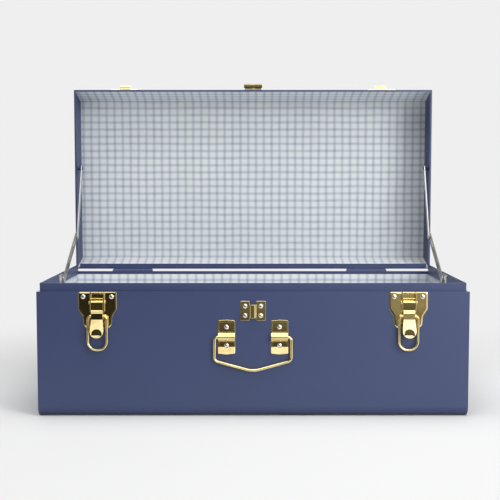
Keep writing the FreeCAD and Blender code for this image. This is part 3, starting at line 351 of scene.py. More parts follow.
def surface_grain_group():
    """Broad mottle and fine grain, used by every finish."""
    group, start, end = new_tree(
        "surface_grain",
        "ShaderNodeTree",
        [
            ("Vector", "NodeSocketVector"),
            ("Broad Scale", "NodeSocketFloat", 9.0),
            ("Fine Scale", "NodeSocketFloat", 900.0),
        ],
        [("Broad", "NodeSocketFloat"), ("Fine", "NodeSocketFloat")],
    )
    for label, detail in (("Broad", 3.0), ("Fine", 2.0)):
        value = noise(group, start.outputs["Vector"], start.outputs[label + " Scale"], detail)
        group.links.new(value, end.inputs[label])
    return group


def check_lines_group():
    """Soft printed lines at a pitch along one direction."""
    group, start, end = new_tree(
        "check_lines",
        "ShaderNodeTree",
        [
            ("Distance", "NodeSocketFloat", 0.0),
            ("Pitch", "NodeSocketFloat", 0.0125),
            ("Width", "NodeSocketFloat", 0.003),
        ],
        [("Line", "NodeSocketFloat")],
    )
    pitch = start.outputs["Pitch"]
    turns = math_node(group, "DIVIDE", start.outputs["Distance"], pitch)
    part = math_node(group, "FRACT", math_node(group, "ADD", turns, 0.5))
    centred = math_node(group, "ABSOLUTE", math_node(group, "SUBTRACT", part, 0.5))
    away = math_node(group, "MULTIPLY", centred, pitch)
    reach = math_node(group, "MULTIPLY", start.outputs["Width"], 0.62)
    group.links.new(map_range(group, away, 0.0, reach, 1.0, 0.0), end.inputs["Line"])
    return group


GROUPS = {}


def place_group(tree, name, **inputs):
    """A shader group's node in a material, with its own inputs."""
    makers = {"surface_grain": surface_grain_group, "check_lines": check_lines_group}
    if name not in GROUPS:
        GROUPS[name] = makers[name]()
    labelled = {key.replace("_", " "): value for key, value in inputs.items()}
    return add_node(tree, "ShaderNodeGroup", labelled, node_tree=GROUPS[name])


def grain(tree, vector, broad_scale, fine_scale):
    """Broad mottle and fine grain of a finish."""
    node = place_group(
        tree, "surface_grain", Vector=vector, Broad_Scale=broad_scale, Fine_Scale=fine_scale
    )
    return node.outputs["Broad"], node.outputs["Fine"]


def new_material(name):
    """Material with a Principled shader: the material, its tree, the shader, the coordinates."""
    material = bpy.data.materials.new(name)
    material.use_nodes = True
    tree = material.node_tree
    shader = tree.nodes["Principled BSDF"]
    coordinates = tree.nodes.new("ShaderNodeTexCoord")
    return material, tree, shader, coordinates


def surface(tree, shader, colour, roughness, height, strength, distance):
    """Feeds a shader its colour, its roughness and its bump."""
    feed(tree, shader.inputs["Base Color"], colour)
    feed(tree, shader.inputs["Roughness"], roughness)
    inputs = {"Strength": strength, "Distance": distance, "Height": height}
    relief = add_node(tree, "ShaderNodeBump", inputs)
    tree.links.new(relief.outputs["Normal"], shader.inputs["Normal"])


def enamel(name):
    """Slate-blue satin enamel with a faint orange peel."""
    shell = settings("shell")
    material, tree, shader, coordinates = new_material(name)
    broad, fine = grain(tree, coordinates.outputs["Object"], 7.0, 650.0)
    darker, lighter = toned(shell.enamel_colour, 0.93), toned(shell.enamel_colour, 1.07)
    colour = mix_colour(tree, broad, darker, lighter)
    roughness = shell.enamel_roughness
    dull = map_range(tree, fine, *GRAIN_SPAN, roughness - 0.03, roughness + 0.04)
    surface(tree, shader, colour, dull, fine, strength=0.10, distance=0.15 * MM)
    return material


def lining(name, painted_light_paleness, in_base=False):
    """Printed paper: a soft blue-grey check on a pale ground, following the board's own map; a
    paleness above 1 is painted light.
    """
    paper = settings("lining")
    scale = paper.base_pitch_scale if in_base else 1.0
    material, tree, shader, coordinates = new_material(name)
    place = coordinates.outputs["UV"]
    split = add_node(tree, "ShaderNodeSeparateXYZ", {0: place})
    broad, fine = grain(tree, place, 14.0, 1500.0)
    # the printed lines wander a little and are fainter in places
    drift = map_range(tree, broad, *GRAIN_SPAN, -CHECK_DRIFT, CHECK_DRIFT, "LINEAR")
    strength = map_range(tree, noise(tree, place, 55.0), *GRAIN_SPAN, 0.8, 1.0)
    across = math_node(tree, "SUBTRACT", split.outputs["X"], CHECK_SHIFT)
    # painted light: the same paper's ground is made paler on boards that get too little light
    colour = toned(paper.ground_colour, painted_light_paleness)
    for distance, pitch in (
        (across, paper.lid_pitch_across),
        (split.outputs["Y"], paper.lid_pitch_along),
    ):
        lines = place_group(
            tree,
            "check_lines",
            Distance=math_node(tree, "ADD", distance, drift),
            Pitch=pitch * scale,
            Width=paper.line_width * scale,
        )
        ink = math_node(tree, "MULTIPLY", lines.outputs["Line"], strength)
        inked = mix_colour(tree, ink, (1.0, 1.0, 1.0), tuple(paper.line_colour))
        colour = mix_colour(tree, 1.0, colour, inked, "MULTIPLY")
    speckle = map_range(tree, fine, 0.25, 0.75, 0.97, 1.03)
    mottle = map_range(tree, broad, *GRAIN_SPAN, 0.985, 1.015)
    shade = math_node(tree, "MULTIPLY", speckle, mottle)
    combine = add_node(tree, "ShaderNodeCombineXYZ", dict.fromkeys(range(3), shade))
    printed = mix_colour(tree, 1.0, colour, combine.outputs[0], "MULTIPLY")
    shader.inputs["Specular IOR Level"].default_value = 0.3
    surface(tree, shader, printed, 0.78, fine, strength=0.15, distance=0.08 * MM)
    return material


def brass(name, roughness, painted_light_tone=1.0):
    """Polished brass with fine rubbing marks and a little tarnish; a tone below 1 gives a darker
    copy as painted shade and a tone above 1 a lighter copy as painted light.
    """
    material, tree, shader, coordinates = new_material(name)
    broad, fine = grain(tree, coordinates.outputs["Object"], 60.0, 2400.0)
    base = toned(settings("fittings").brass_colour, painted_light_tone)
    tarnish = tuple(value * share for value, share in zip(base, (0.86, 0.80, 0.70)))
    colour = mix_colour(tree, map_range(tree, broad, 0.42, 0.72), base, tarnish)
    dull = map_range(tree, broad, 0.35, 0.7, roughness, roughness + 0.05)
    shader.inputs["Metallic"].default_value = 1.0
    surface(tree, shader, colour, dull, fine, strength=0.05, distance=0.05 * MM)
    return material


def bright_steel(name, colour, roughness):
    """Bright plated steel with a slight rolling grain."""
    material, tree, shader, coordinates = new_material(name)
    inputs = {"Vector": coordinates.outputs["Object"], "Scale": (1.0, 0.12, 1.0)}
    stretch = add_node(tree, "ShaderNodeMapping", inputs)
    broad, fine = grain(tree, stretch.outputs[0], 90.0, 2600.0)
    tone = mix_colour(tree, broad, toned(colour, 0.9), colour)
    dull = map_range(tree, fine, *GRAIN_SPAN, roughness, roughness + 0.08)
    shader.inputs["Metallic"].default_value = 1.0
    surface(tree, shader, tone, dull, fine, strength=0.06, distance=0.05 * MM)
    return material


# Each finish's maker, with the values that follow its name
FINISHES = {
    "slate_enamel": (enamel,),
    "lid_paper": (lining, 1.0),
    # the lid's top board and the base's boards are paler copies of the same paper: painted light
    "lid_front_paper": (lining, 1.22),
    "base_paper": (lining, 1.12, True),
    "plate_brass": (brass, 0.07),
    # the hasp's brass is darkened to 0.4 of the plate brass as painted shade
    "hasp_brass": (brass, 0.05, 0.4),
    # the wire's brass is a little lighter than the plate brass, as painted light
    "wire_brass": (brass, 0.16, 1.05),
    "rivet_steel": (bright_steel, (0.80, 0.79, 0.76), 0.16),
    "stay_steel": (bright_steel, (0.74, 0.73, 0.70), 0.28),
    # the lower arm is the same plated steel, darkened as painted shade
    "slotted_steel": (bright_steel, (0.31, 0.30, 0.26), 0.26),
}
MATERIALS = {}


def finish(name):
    """The named finish, made once."""
    if name not in MATERIALS:
        maker, *values = FINISHES[name]
        MATERIALS[name] = maker(name, *values)
    return MATERIALS[name]


# Pieces

def new_object(name, mesh):
    piece = bpy.data.objects.new(name, mesh)
    bpy.context.scene.collection.objects.link(piece)
    return piece


def apply_modifiers(piece):
    graph = bpy.context.evaluated_depsgraph_get()
    mesh = bpy.data.meshes.new_from_object(piece.evaluated_get(graph))
    piece.modifiers.clear()
    piece.data = mesh
    return mesh


def settle(piece, angle=FOLD_ANGLE, creases=()):
    """Turns live modifiers into a plain smooth mesh with sharp creases and level faces."""
    mesh = apply_modifiers(piece)
    mesh.shade_smooth()
    mesh.set_sharp_from_angle(angle=math.radians(angle))
    if creases:
        sharp = mesh.attributes.get("sharp_edge")
        sharp = sharp or mesh.attributes.new("sharp_edge", "BOOLEAN", "EDGE")
        for edge in mesh.edges:
            ends = [mesh.vertices[index].co for index in edge.vertices]
            for axis, value in creases:
                if all(abs(end[axis] - value) < CREASE_GAP for end in ends):
                    sharp.data[edge.index].value = True
    weighted = piece.modifiers.new("flat_faces", "WEIGHTED_NORMAL")
    weighted.mode = "FACE_AREA"
    weighted.weight = 100
    weighted.keep_sharp = True
    apply_modifiers(piece)


def dress(piece, material):
    piece.data.materials.clear()
    piece.data.materials.append(material)


def stand_for(piece, material, *nodes):
    """Dresses a piece and lets it stand for CAD nodes of one body and one slot."""
    dress(piece, material)
    body = BODY_OF[nodes[0]]
    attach(piece, body)
    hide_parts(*nodes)


def merged_copy(node, name, plugs=None):
    """A copy of a CAD node's mesh with its triangles joined into whole faces."""
    mesh = frame["nodes"][node].data.copy()
    work = bmesh.new()
    work.from_mesh(mesh)
    bmesh.ops.remove_doubles(work, verts=work.verts, dist=JOIN_DISTANCE)
    if plugs:
        plug_holes(work, *plugs)
    bmesh.ops.dissolve_limit(work, angle_limit=JOIN_ANGLE, verts=work.verts, edges=work.edges)
    work.to_mesh(mesh)
    work.free()
    if "custom_normal" in mesh.attributes:
        mesh.attributes.remove(mesh.attributes["custom_normal"])
    mesh.name = name
    return new_object(name, mesh)


def plug_holes(work, rivets, axis):
    """Closes the holes that rivets fill, so that the plate round them is whole."""
    walls = set()
    for low, high in islands(rivets):
        centre = (low + high) / 2
        for face in work.faces:
            offsets = [corner.co - centre for corner in face.verts]
            for offset in offsets:
                offset[axis] = 0.0
            if max(offset.length for offset in offsets) < RIVET_HOLE_REACH:
                walls.add(face)
    bmesh.ops.delete(work, geom=list(walls), context="FACES")
    rims = [item for item in work.edges if item.is_boundary]
    bmesh.ops.holes_fill(work, edges=rims, sides=0)


def is_flat(item):
    return len(item.link_faces) == 2 and item.calc_face_angle() < FLAT_ANGLE


def is_mounted(item, back):
    """Whether both ends of an edge lie on the mounting plane."""
    return back and all(abs(end.co[back[0]] - back[1]) < PLANE_GAP for end in item.verts)


def room_beside(item, back):
    """How wide an edge can be eased before it meets the next edge across either of its faces."""
    room = ROOM_LIMIT
    for loop in item.link_loops:
        start = loop.vert.co
        along = loop.link_loop_next.vert.co - start
        middle = start + along / 2
        along.normalize()
        inward = loop.face.normal.cross(along)
        for other in loop.face.edges:
            if set(other.verts) & set(item.verts) or is_flat(other):
                continue
            first, second = (corner.co - middle for corner in other.verts)
            sides = first.dot(along), second.dot(along)
            if (sides[0] > 0) == (sides[1] > 0):
                continue
            part = sides[0] / (sides[0] - sides[1])
            reach = first.dot(inward) * (1 - part) + second.dot(inward) * part
            if reach > 0:
                share = MOUNTED_ROOM_SHARE if is_mounted(other, back) else ROOM_SHARE
                room = min(room, reach * share)
    return room


def ease_edges(piece, width, least_room, most_room, back, segments):
    """Rounds the corners that have room for it, apart from those on the mounting plane."""
    work = bmesh.new()
    work.from_mesh(piece.data)
    weight = work.edges.layers.float.new("bevel_weight_edge")
    for item in work.edges:
        corner = len(item.link_faces) == 2 and item.calc_face_angle() > CORNER_ANGLE
        if corner and not is_mounted(item, back):
            item[weight] = float(least_room <= room_beside(item, back) < most_room)
    work.to_mesh(piece.data)
    work.free()
    ease = piece.modifiers.new("eased_edges", "BEVEL")
    ease.width = width
    ease.offset_type = "WIDTH"
    ease.segments = segments
    ease.limit_method = "WEIGHT"
    ease.use_clamp_overlap = False
    ease.loop_slide = False
    ease.miter_outer = "MITER_ARC"
    low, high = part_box(piece.name.removesuffix("_eased"))
    mesh = apply_modifiers(piece)
    mesh.attributes.remove(mesh.attributes["bevel_weight_edge"])
    for corner in mesh.vertices:
        for axis in range(3):
            corner.co[axis] = min(max(corner.co[axis], low[axis]), high[axis])


def eased_piece(node, look, edge, back=None, creases=(), rivets=None):
    """A CAD node's shape with its edges eased, the narrow ones less than the rest."""
    piece = merged_copy(node, node + "_eased", rivets and (rivets, back[0]))
    wide_room = ROOM_SHARE * edge
    ease_edges(piece, NARROW_EASE, NARROW_ROOM, wide_room, back, 2)
    ease_edges(piece, edge, wide_room, 2 * ROOM_LIMIT, back, 3)
    settle(piece, creases=creases)
    stand_for(piece, finish(look), node)


def paint_node(node, look):
    """Gives a carried-over CAD node its finish."""
    dress(frame["nodes"][node], finish(look))


def islands(node):
    """(low, high) corners of each separate solid in a CAD node."""
    work = bmesh.new()
    work.from_mesh(frame["nodes"][node].data)
    bmesh.ops.remove_doubles(work, verts=work.verts, dist=JOIN_DISTANCE)
    left = set(work.verts)
    found = []
    while left:
        stack = [left.pop()]
        cluster = [stack[0]]
        while stack:
            vertex = stack.pop()
            for edge in vertex.link_edges:
                other = edge.other_vert(vertex)
                if other in left:
                    left.discard(other)
                    cluster.append(other)
                    stack.append(other)
        low = Vector(min(v.co[i] for v in cluster) for i in range(3))
        high = Vector(max(v.co[i] for v in cluster) for i in range(3))
        found.append((low, high))
    work.free()
    return sorted(found, key=lambda pair: tuple(round(value, 5) for value in pair[0]))


# Geometry node trees

def geometry_tree(name, inputs):
    """Geometry tree with its own inputs between the usual input and output."""
    shape = ("Geometry", "NodeSocketGeometry")
    return new_tree(name, "GeometryNodeTree", [shape, *inputs], [shape])


def point_value(tree, name, kind):
    """A named value that every point carries."""
    node = add_node(tree, "GeometryNodeInputNamedAttribute", data_type=kind)
    node.inputs["Name"].default_value = name
    return node.outputs[0]


def close_tree(tree, start, end, shape):
    """Ends a tree: instances made real, then the material."""
    real = add_node(tree, "GeometryNodeRealizeInstances", {0: shape})
    inputs = {"Geometry": real.outputs[0], "Material": start.outputs["Material"]}
    paint = add_node(tree, "GeometryNodeSetMaterial", inputs)
    tree.links.new(paint.outputs[0], end.inputs[0])
    return tree


def rivet_tree():
    """A domed head, turned from a profile, on every point, facing the point's direction."""
    tree, start, end = geometry_tree(
        "rivet_heads",
        [
            ("Head Radius", "NodeSocketFloat", 0.003),
            ("Head Height", "NodeSocketFloat", 0.0014),
            ("Material", "NodeSocketMaterial"),
        ],
    )
    head_radius = start.outputs["Head Radius"]
    counts = {"Vertices X": HEAD_SIDES + 1, "Vertices Y": HEAD_RINGS}
    grid = add_node(tree, "GeometryNodeMeshGrid", {"Size X": 1.0, "Size Y": 1.0, **counts})
    position = tree.nodes.new("GeometryNodeInputPosition")
    split = add_node(tree, "ShaderNodeSeparateXYZ", {0: position.outputs[0]})
    across, along = (math_node(tree, "ADD", split.outputs[axis], 0.5) for axis in ("X", "Y"))
    turn = math_node(tree, "MULTIPLY", across, 2 * math.pi)
    fall = math_node(tree, "MULTIPLY", along, math.pi / 2)
    radius = math_node(tree, "MULTIPLY", math_node(tree, "SINE", fall), head_radius)
    height = math_node(
        tree, "MULTIPLY", math_node(tree, "COSINE", fall), start.outputs["Head Height"]
    )
    place = {
        "X": math_node(tree, "MULTIPLY", math_node(tree, "COSINE", turn), radius),
        "Y": math_node(tree, "MULTIPLY", math_node(tree, "SINE", turn), radius),
        "Z": height,
    }
    combine = add_node(tree, "ShaderNodeCombineXYZ", place)
    inputs = {"Geometry": grid.outputs["Mesh"], "Position": combine.outputs[0]}
    dome = add_node(tree, "GeometryNodeSetPosition", inputs)
    inputs = {"Vertices": HEAD_SIDES, "Radius": head_radius}
    foot = add_node(tree, "GeometryNodeMeshCircle", inputs, fill_type="NGON")
    flip = add_node(tree, "GeometryNodeFlipFaces", {0: foot.outputs["Mesh"]})
    join = tree.nodes.new("GeometryNodeJoinGeometry")
    for part in (dome, flip):
        tree.links.new(part.outputs[0], join.inputs[0])
    inputs = {"Geometry": join.outputs[0], "Distance": HEAD_JOIN}
    head = add_node(tree, "GeometryNodeMergeByDistance", inputs)
    inputs = {"Vector": point_value(tree, "facing", "FLOAT_VECTOR")}
    align = add_node(tree, "FunctionNodeAlignRotationToVector", inputs, axis="Z")
    inputs = {
        "Points": start.outputs["Geometry"],
        "Instance": head.outputs[0],
        "Rotation": align.outputs[0],
    }
    spread = add_node(tree, "GeometryNodeInstanceOnPoints", inputs)
    return close_tree(tree, start, end, spread.outputs[0])


def wire_tree():
    """Round wire along the object's own line, with every corner bent to its own radius."""
    tree, start, end = geometry_tree(
        "bent_wire",
        [
            ("Wire Radius", "NodeSocketFloat", 0.0018),
            ("Sides", "NodeSocketInt", 24),
            ("Material", "NodeSocketMaterial"),
        ],
    )
    line = add_node(tree, "GeometryNodeMeshToCurve", {"Mesh": start.outputs["Geometry"]})
    fillet = add_node(tree, "GeometryNodeFilletCurve", {"Curve": line.outputs[0]}, mode="POLY")
    fillet.inputs["Count"].default_value = BEND_FACES
    tree.links.new(point_value(tree, "bend", "FLOAT"), fillet.inputs["Radius"])
    inputs = {"Resolution": start.outputs["Sides"], "Radius": start.outputs["Wire Radius"]}
    ring = add_node(tree, "GeometryNodeCurvePrimitiveCircle", inputs)
    inputs = {"Curve": fillet.outputs[0], "Profile Curve": ring.outputs[0], "Fill Caps": True}
    sweep = add_node(tree, "GeometryNodeCurveToMesh", inputs)
    return close_tree(tree, start, end, sweep.outputs[0])


TREES = {}


def with_tree(piece, name, **values):
    """Puts a geometry tree on a piece and sets its inputs by identifier."""
    makers = {"rivet_heads": rivet_tree, "bent_wire": wire_tree}
    if name not in TREES:
        TREES[name] = makers[name]()
    tree = TREES[name]
    modifier = piece.modifiers.new(name, "NODES")
    modifier.node_group = tree
    for item in tree.interface.items_tree:
        if item.item_type == "SOCKET" and item.in_out == "INPUT":
            key = item.name.replace(" ", "_")
            if key in values:
                modifier[item.identifier] = values[key]


def rivet_heads(node, facing, look):
    """Domed heads where a CAD node has its rivets."""
    fittings = settings("fittings")
    direction = Vector(facing)
    axis = max(range(3), key=lambda i: abs(direction[i]))
    places = []
    for low, high in islands(node):
        place = (low + high) / 2
        head_top = high[axis] if direction[axis] > 0 else low[axis]
        place[axis] = head_top - direction[axis] * fittings.rivet_height
        places.append(tuple(place))
    mesh = bpy.data.meshes.new(node + "_heads")
    mesh.from_pydata(places, [], [])
    way = mesh.attributes.new("facing", "FLOAT_VECTOR", "POINT")
    for item in way.data:
        item.vector = direction
    piece = new_object(node + "_heads", mesh)
    with_tree(
        piece,
        "rivet_heads",
        Head_Radius=fittings.rivet_radius,
        Head_Height=fittings.rivet_height,
        Material=finish(look),
    )
    settle(piece, ROUND_ANGLE)
    stand_for(piece, finish(look), node)


def bent_wire(name, points, radius, node):
    """A brass wire through (x, y, z, bend radius) points, standing for a CAD node."""
    mesh = bpy.data.meshes.new(name)
    edges = [(index, index + 1) for index in range(len(points) - 1)]
    mesh.from_pydata([point[:3] for point in points], edges, [])
    bend = mesh.attributes.new("bend", "FLOAT", "POINT")
    for item, point in zip(bend.data, points):
        item.value = point[3]
    piece = new_object(name, mesh)
    material = finish("wire_brass")
    sides = settings("fittings").wire_sides
    with_tree(piece, "bent_wire", Wire_Radius=radius, Sides=sides, Material=material)
    settle(piece, ROUND_ANGLE)
    stand_for(piece, material, node)


def map_board(mesh, places):
    """Gives a board its map from one (across, along) pair for each vertex."""
    layer = mesh.uv_layers.new(name="board")
    for loop in mesh.loops:
        layer.data[loop.index].uv = places[loop.vertex_index]
    mesh.uv_layers.active = layer


def unrolled(mesh, path, start):
    """Across is X; along is the length of the (y, z) path up to the nearest point on it."""
    steps = []
    for (ay, az), (by, bz) in zip(path, path[1:]):
        length = math.hypot(by - ay, bz - az)
        steps.append((ay, az, (by - ay) / length, (bz - az) / length, length, start))
        start += length
    places = []
    for vertex in mesh.vertices:
        nearest = []
        for ay, az, uy, uz, length, done in steps:
            run = (vertex.co.y - ay) * uy + (vertex.co.z - az) * uz
            run = min(max(run, 0.0), length)
            gap = math.hypot(vertex.co.y - ay - uy * run, vertex.co.z - az - uz * run)
            nearest.append((gap, done + run))
        places.append((vertex.co.x, min(nearest, key=lambda pair: pair[0])[1]))
    return places


def paper_board(node, look, path=None, start=0.0):
    """A lining board in printed paper, mapped along a path or, at the ends, by Y and Z."""
    piece = merged_copy(node, node + "_paper")
    settle(piece)
    mesh = piece.data
    places = unrolled(mesh, path, start) if path else [vertex.co.yz for vertex in mesh.vertices]
    map_board(mesh, places)
    stand_for(piece, finish(look), node)


class TRUNK_OT_shell(bpy.types.Operator):
    """Enamelled sheet steel of the base, neck and lid"""

    bl_idname = "trunk.shell"
    bl_label = "Steel Shell"

    def execute(self, context):
        for node in (
            "base_wrap",
            "base_end_left",
            "base_end_right",
            "neck_frame",
            "lid_wrap",
            "lid_end_left",
            "lid_end_right",
        ):
            paint_node(node, "slate_enamel")
        return {"FINISHED"}


class TRUNK_OT_lining(bpy.types.Operator):
    """Printed paper boards inside the base and the lid"""

    bl_idname = "trunk.lining"
    bl_label = "Lining"

    def execute(self, context):
        panel_low, panel_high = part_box("lid_lining_panel")
        top_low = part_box("lid_lining_front")[0]
        foot_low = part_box("lid_lining_rear")[0]
        wall = panel_low.y
        lean_end = top_low.y + LEAN_RIM
        # the large board, from one metre below the check's level to one above
        level_path = [(wall, CHECK_LEVEL - 1.0), (wall, CHECK_LEVEL + 1.0)]
        paper_board("lid_lining_panel", "lid_paper", level_path, -1.0)
        top = panel_high.z + LEAN_RISE
        top_path = [(wall, panel_high.z), (lean_end, top), (top_low.y, top)]
        paper_board("lid_lining_front", "lid_front_paper", top_path, panel_high.z - CHECK_LEVEL)
        foot = panel_low.z - LEAN_RISE
        foot_path = [(wall, panel_low.z), (lean_end, foot), (foot_low.y, foot)]
        paper_board("lid_lining_rear", "lid_paper", foot_path, CHECK_LEVEL - panel_low.z)

        low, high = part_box("base_lining_wrap")
        path = [(low.y + BOARD_THICKNESS, high.z)]
        centre_z = low.z + BOARD_THICKNESS + BOARD_BEND
        for centre_y, turned in (
            (low.y + BOARD_THICKNESS + BOARD_BEND, math.pi),
            (high.y - BOARD_THICKNESS - BOARD_BEND, 1.5 * math.pi),
        ):
            for step in range(BEND_STEPS + 1):
                angle = turned + step * math.pi / 2 / BEND_STEPS
                y = centre_y + BOARD_BEND * math.cos(angle)
                path.append((y, centre_z + BOARD_BEND * math.sin(angle)))
        path.append((high.y - BOARD_THICKNESS, high.z))
        paper_board("base_lining_wrap", "base_paper", path)
        for side in SIDES:
            paper_board("base_lining_end_" + side, "base_paper")
        return {"FINISHED"}


def below_shoulder(drops):
    """Level creases at distances below the shoulder of the base."""
    return [(2, SHOULDER_Z - drop) for drop in drops]


class TRUNK_OT_latches(bpy.types.Operator):
    """Draw latches on the base and catch plates on the lid"""

    bl_idname = "trunk.latches"
    bl_label = "Draw Latches"

    def execute(self, context):
        look = "plate_brass"
        fittings = settings("fittings")
        edge = fittings.plate_edge
        radius = fittings.loop_wire
        free_end, eye_bend, nose_bend = 4.4 * MM, 4.0 * MM, 11.0 * MM
        for side in SIDES:
            lid_face = (2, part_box("catch_plate_" + side)[0].z)
            eased_piece("latch_plate_" + side, look, edge, FRONT_FACE, rivets="latch_rivets")
            eased_piece("catch_plate_" + side, look, edge, lid_face, rivets="catch_rivets")
            creases = below_shoulder(LEVER_BENDS)
            eased_piece("latch_lever_" + side, look, SMALL_EDGE, creases=creases)
            eased_piece("latch_pin_" + side, look, SMALL_EDGE)
            low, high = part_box("latch_loop_" + side)
            centre = (low.x + high.x) / 2
            y = (low.y + high.y) / 2
            half = (high.x - low.x) / 2 - radius
            top = high.z - radius
            foot = low.z + radius
            points = [
                (centre + free_end, y, top, 0.0),
                (centre + half, y, top, eye_bend),
                (centre + half, y, foot, nose_bend),
                (centre - half, y, foot, nose_bend),
                (centre - half, y, top, eye_bend),
                (centre - free_end, y, top, 0.0),
            ]
            bent_wire("latch_wire_" + side, points, radius, "latch_loop_" + side)
        return {"FINISHED"}


class TRUNK_OT_handle(bpy.types.Operator):
    """Drop handle: two brackets and the bail"""

    bl_idname = "trunk.handle"
    bl_label = "Drop Handle"

    def execute(self, context):
        for side in SIDES:
            eased_piece(
                "handle_bracket_" + side,
                "plate_brass",
                BRACKET_EDGE,
                FRONT_FACE,
                below_shoulder(BRACKET_BENDS),
                rivets="handle_rivets",
            )
        low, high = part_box("handle_bail")
        radius = settings("fittings").bail_wire
        y = (low.y + high.y) / 2
        half = (high.x - low.x) / 2 - radius
        top = high.z - radius
        side_z = SHOULDER_Z - BAIL_SIDE_DROP
        middle = SHOULDER_Z - BAIL_FOOT_DROP + radius
        free_end, eye_bend, side_bend, foot_bend = 35.7 * MM, 4.2 * MM, 6.5 * MM, 34.0 * MM
        points = [
            (free_end, y, top, 0.0),
            (half, y, top, eye_bend),
            (half, y, side_z, side_bend),
            (0.0, y, middle, foot_bend),
            (-half, y, side_z, side_bend),
            (-half, y, top, eye_bend),
            (-free_end, y, top, 0.0),
        ]
        bent_wire("handle_wire", points, radius, "handle_bail")
        return {"FINISHED"}


class TRUNK_OT_hasp(bpy.types.Operator):
    """Hasp on the lid and its staple on the base"""

    bl_idname = "trunk.hasp"
    bl_label = "Hasp and Staple"

    def execute(self, context):
        edge = settings("fittings").plate_edge
        lid_face = (2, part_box("hasp_plate")[0].z)
        eased_piece(
            "staple_plate", "plate_brass", BRACKET_EDGE, FRONT_FACE, rivets="staple_rivets"
        )
        eased_piece("hasp_plate", "hasp_brass", edge, lid_face, rivets="hasp_rivets")
        eased_piece("hasp_strap", "hasp_brass", edge)
        eased_piece("hasp_pin", "hasp_brass", SMALL_EDGE)
        return {"FINISHED"}


class TRUNK_OT_hinges(bpy.types.Operator):
    """Painted hinges at the rear"""

    bl_idname = "trunk.hinges"
    bl_label = "Hinges"

    def execute(self, context):
        for side in SIDES:
            for node in ("hinge_base_leaf_", "hinge_lid_leaf_", "hinge_pin_"):
                eased_piece(node + side, "slate_enamel", SMALL_EDGE)
        return {"FINISHED"}


class TRUNK_OT_stays(bpy.types.Operator):
    """Folding stays between the base and the lid"""

    bl_idname = "trunk.stays"
    bl_label = "Lid Stays"

    def execute(self, context):
        for side in SIDES:
            for node, look in (
                ("stay_base_bracket_", "stay_steel"),
                ("stay_base_pin_", "stay_steel"),
                ("stay_upper_arm_", "stay_steel"),
                ("stay_elbow_pin_", "stay_steel"),
                # the lower arm takes the darker copy of the stay steel: painted shade
                ("stay_lower_arm_", "slotted_steel"),
                ("stay_lid_bracket_", "slate_enamel"),
                ("stay_lid_pin_", "slate_enamel"),
            ):
                eased_piece(node + side, look, STAY_EDGE)
        paint_node("stay_base_rivets", "rivet_steel")
        return {"FINISHED"}


class TRUNK_OT_rivets(bpy.types.Operator):
    """Domed rivet heads of the fittings and hinges"""

    bl_idname = "trunk.rivets"
    bl_label = "Rivets"

    def execute(self, context):
        for node, facing, look in (
            ("latch_rivets", (0, -1, 0), "rivet_steel"),
            ("handle_rivets", (0, -1, 0), "rivet_steel"),
            ("staple_rivets", (0, -1, 0), "rivet_steel"),
            ("catch_rivets", (0, 0, 1), "rivet_steel"),
            ("hasp_rivets", (0, 0, 1), "rivet_steel"),
            ("hinge_base_rivets", (0, 1, 0), "slate_enamel"),
            ("hinge_lid_rivets", (0, 0, -1), "slate_enamel"),
        ):
            rivet_heads(node, facing, look)
        return {"FINISHED"}


# Stage

def seen_directly(tree):
    """1 where a surface is looked at or mirrored, 0 where it only gives light."""
    path = tree.nodes.new("ShaderNodeLightPath")
    seen = math_node(tree, "MAXIMUM", path.outputs["Is Camera Ray"], path.outputs["Is Glossy Ray"])
    return math_node(tree, "MAXIMUM", seen, path.outputs["Is Transmission Ray"])


def floor_material(backdrop_grey):
    """Pale floor that keeps the trunk's shadow and melts into the backdrop further out."""
    material, tree, shader, coordinates = new_material("pale_floor")
    shader.inputs["Base Color"].default_value = (FLOOR_GREY, FLOOR_GREY, FLOOR_GREY, 1.0)
    shader.inputs["Roughness"].default_value = 0.9
    shader.inputs["Specular IOR Level"].default_value = 0.0
    grey = (backdrop_grey, backdrop_grey, backdrop_grey, 1.0)
    glow = add_node(tree, "ShaderNodeEmission", {"Color": grey})
    inputs = {0: coordinates.outputs["Object"]}
    distance = add_node(tree, "ShaderNodeVectorMath", inputs, operation="LENGTH")
    far = map_range(tree, distance.outputs["Value"], *FLOOR_FADE)
    mask = math_node(tree, "MULTIPLY", far, seen_directly(tree))
    mix = add_node(
        tree, "ShaderNodeMixShader", {0: mask, 1: shader.outputs[0], 2: glow.outputs[0]}
    )
    tree.links.new(mix.outputs[0], tree.nodes["Material Output"].inputs["Surface"])
    return material


def panel_object(name, panels, material):
    """An object of separate four-cornered panels."""
    mesh = bpy.data.meshes.new(name)
    corners = [corner for panel in panels for corner in panel]
    faces = [tuple(range(4 * index, 4 * index + 4)) for index in range(len(panels))]
    mesh.from_pydata(corners, [], faces)
    piece = new_object(name, mesh)
    dress(piece, material)
    return piece


def ground_panel(near, far, reach=3.0):
    return [(-reach, near, 0), (reach, near, 0), (reach, far, 0), (-reach, far, 0)]


def area_light(name, place, target, width, height, power):
    data = bpy.data.lights.new(name, "AREA")
    data.shape = "RECTANGLE"
    data.size = width
    data.size_y = height
    data.energy = power
    lamp = bpy.data.objects.new(name, data)
    lamp.location = place
    lamp.rotation_euler = (Vector(target) - Vector(place)).to_track_quat("-Z", "Y").to_euler()
    lamp.visible_camera = False
    bpy.context.scene.collection.objects.link(lamp)
    return lamp


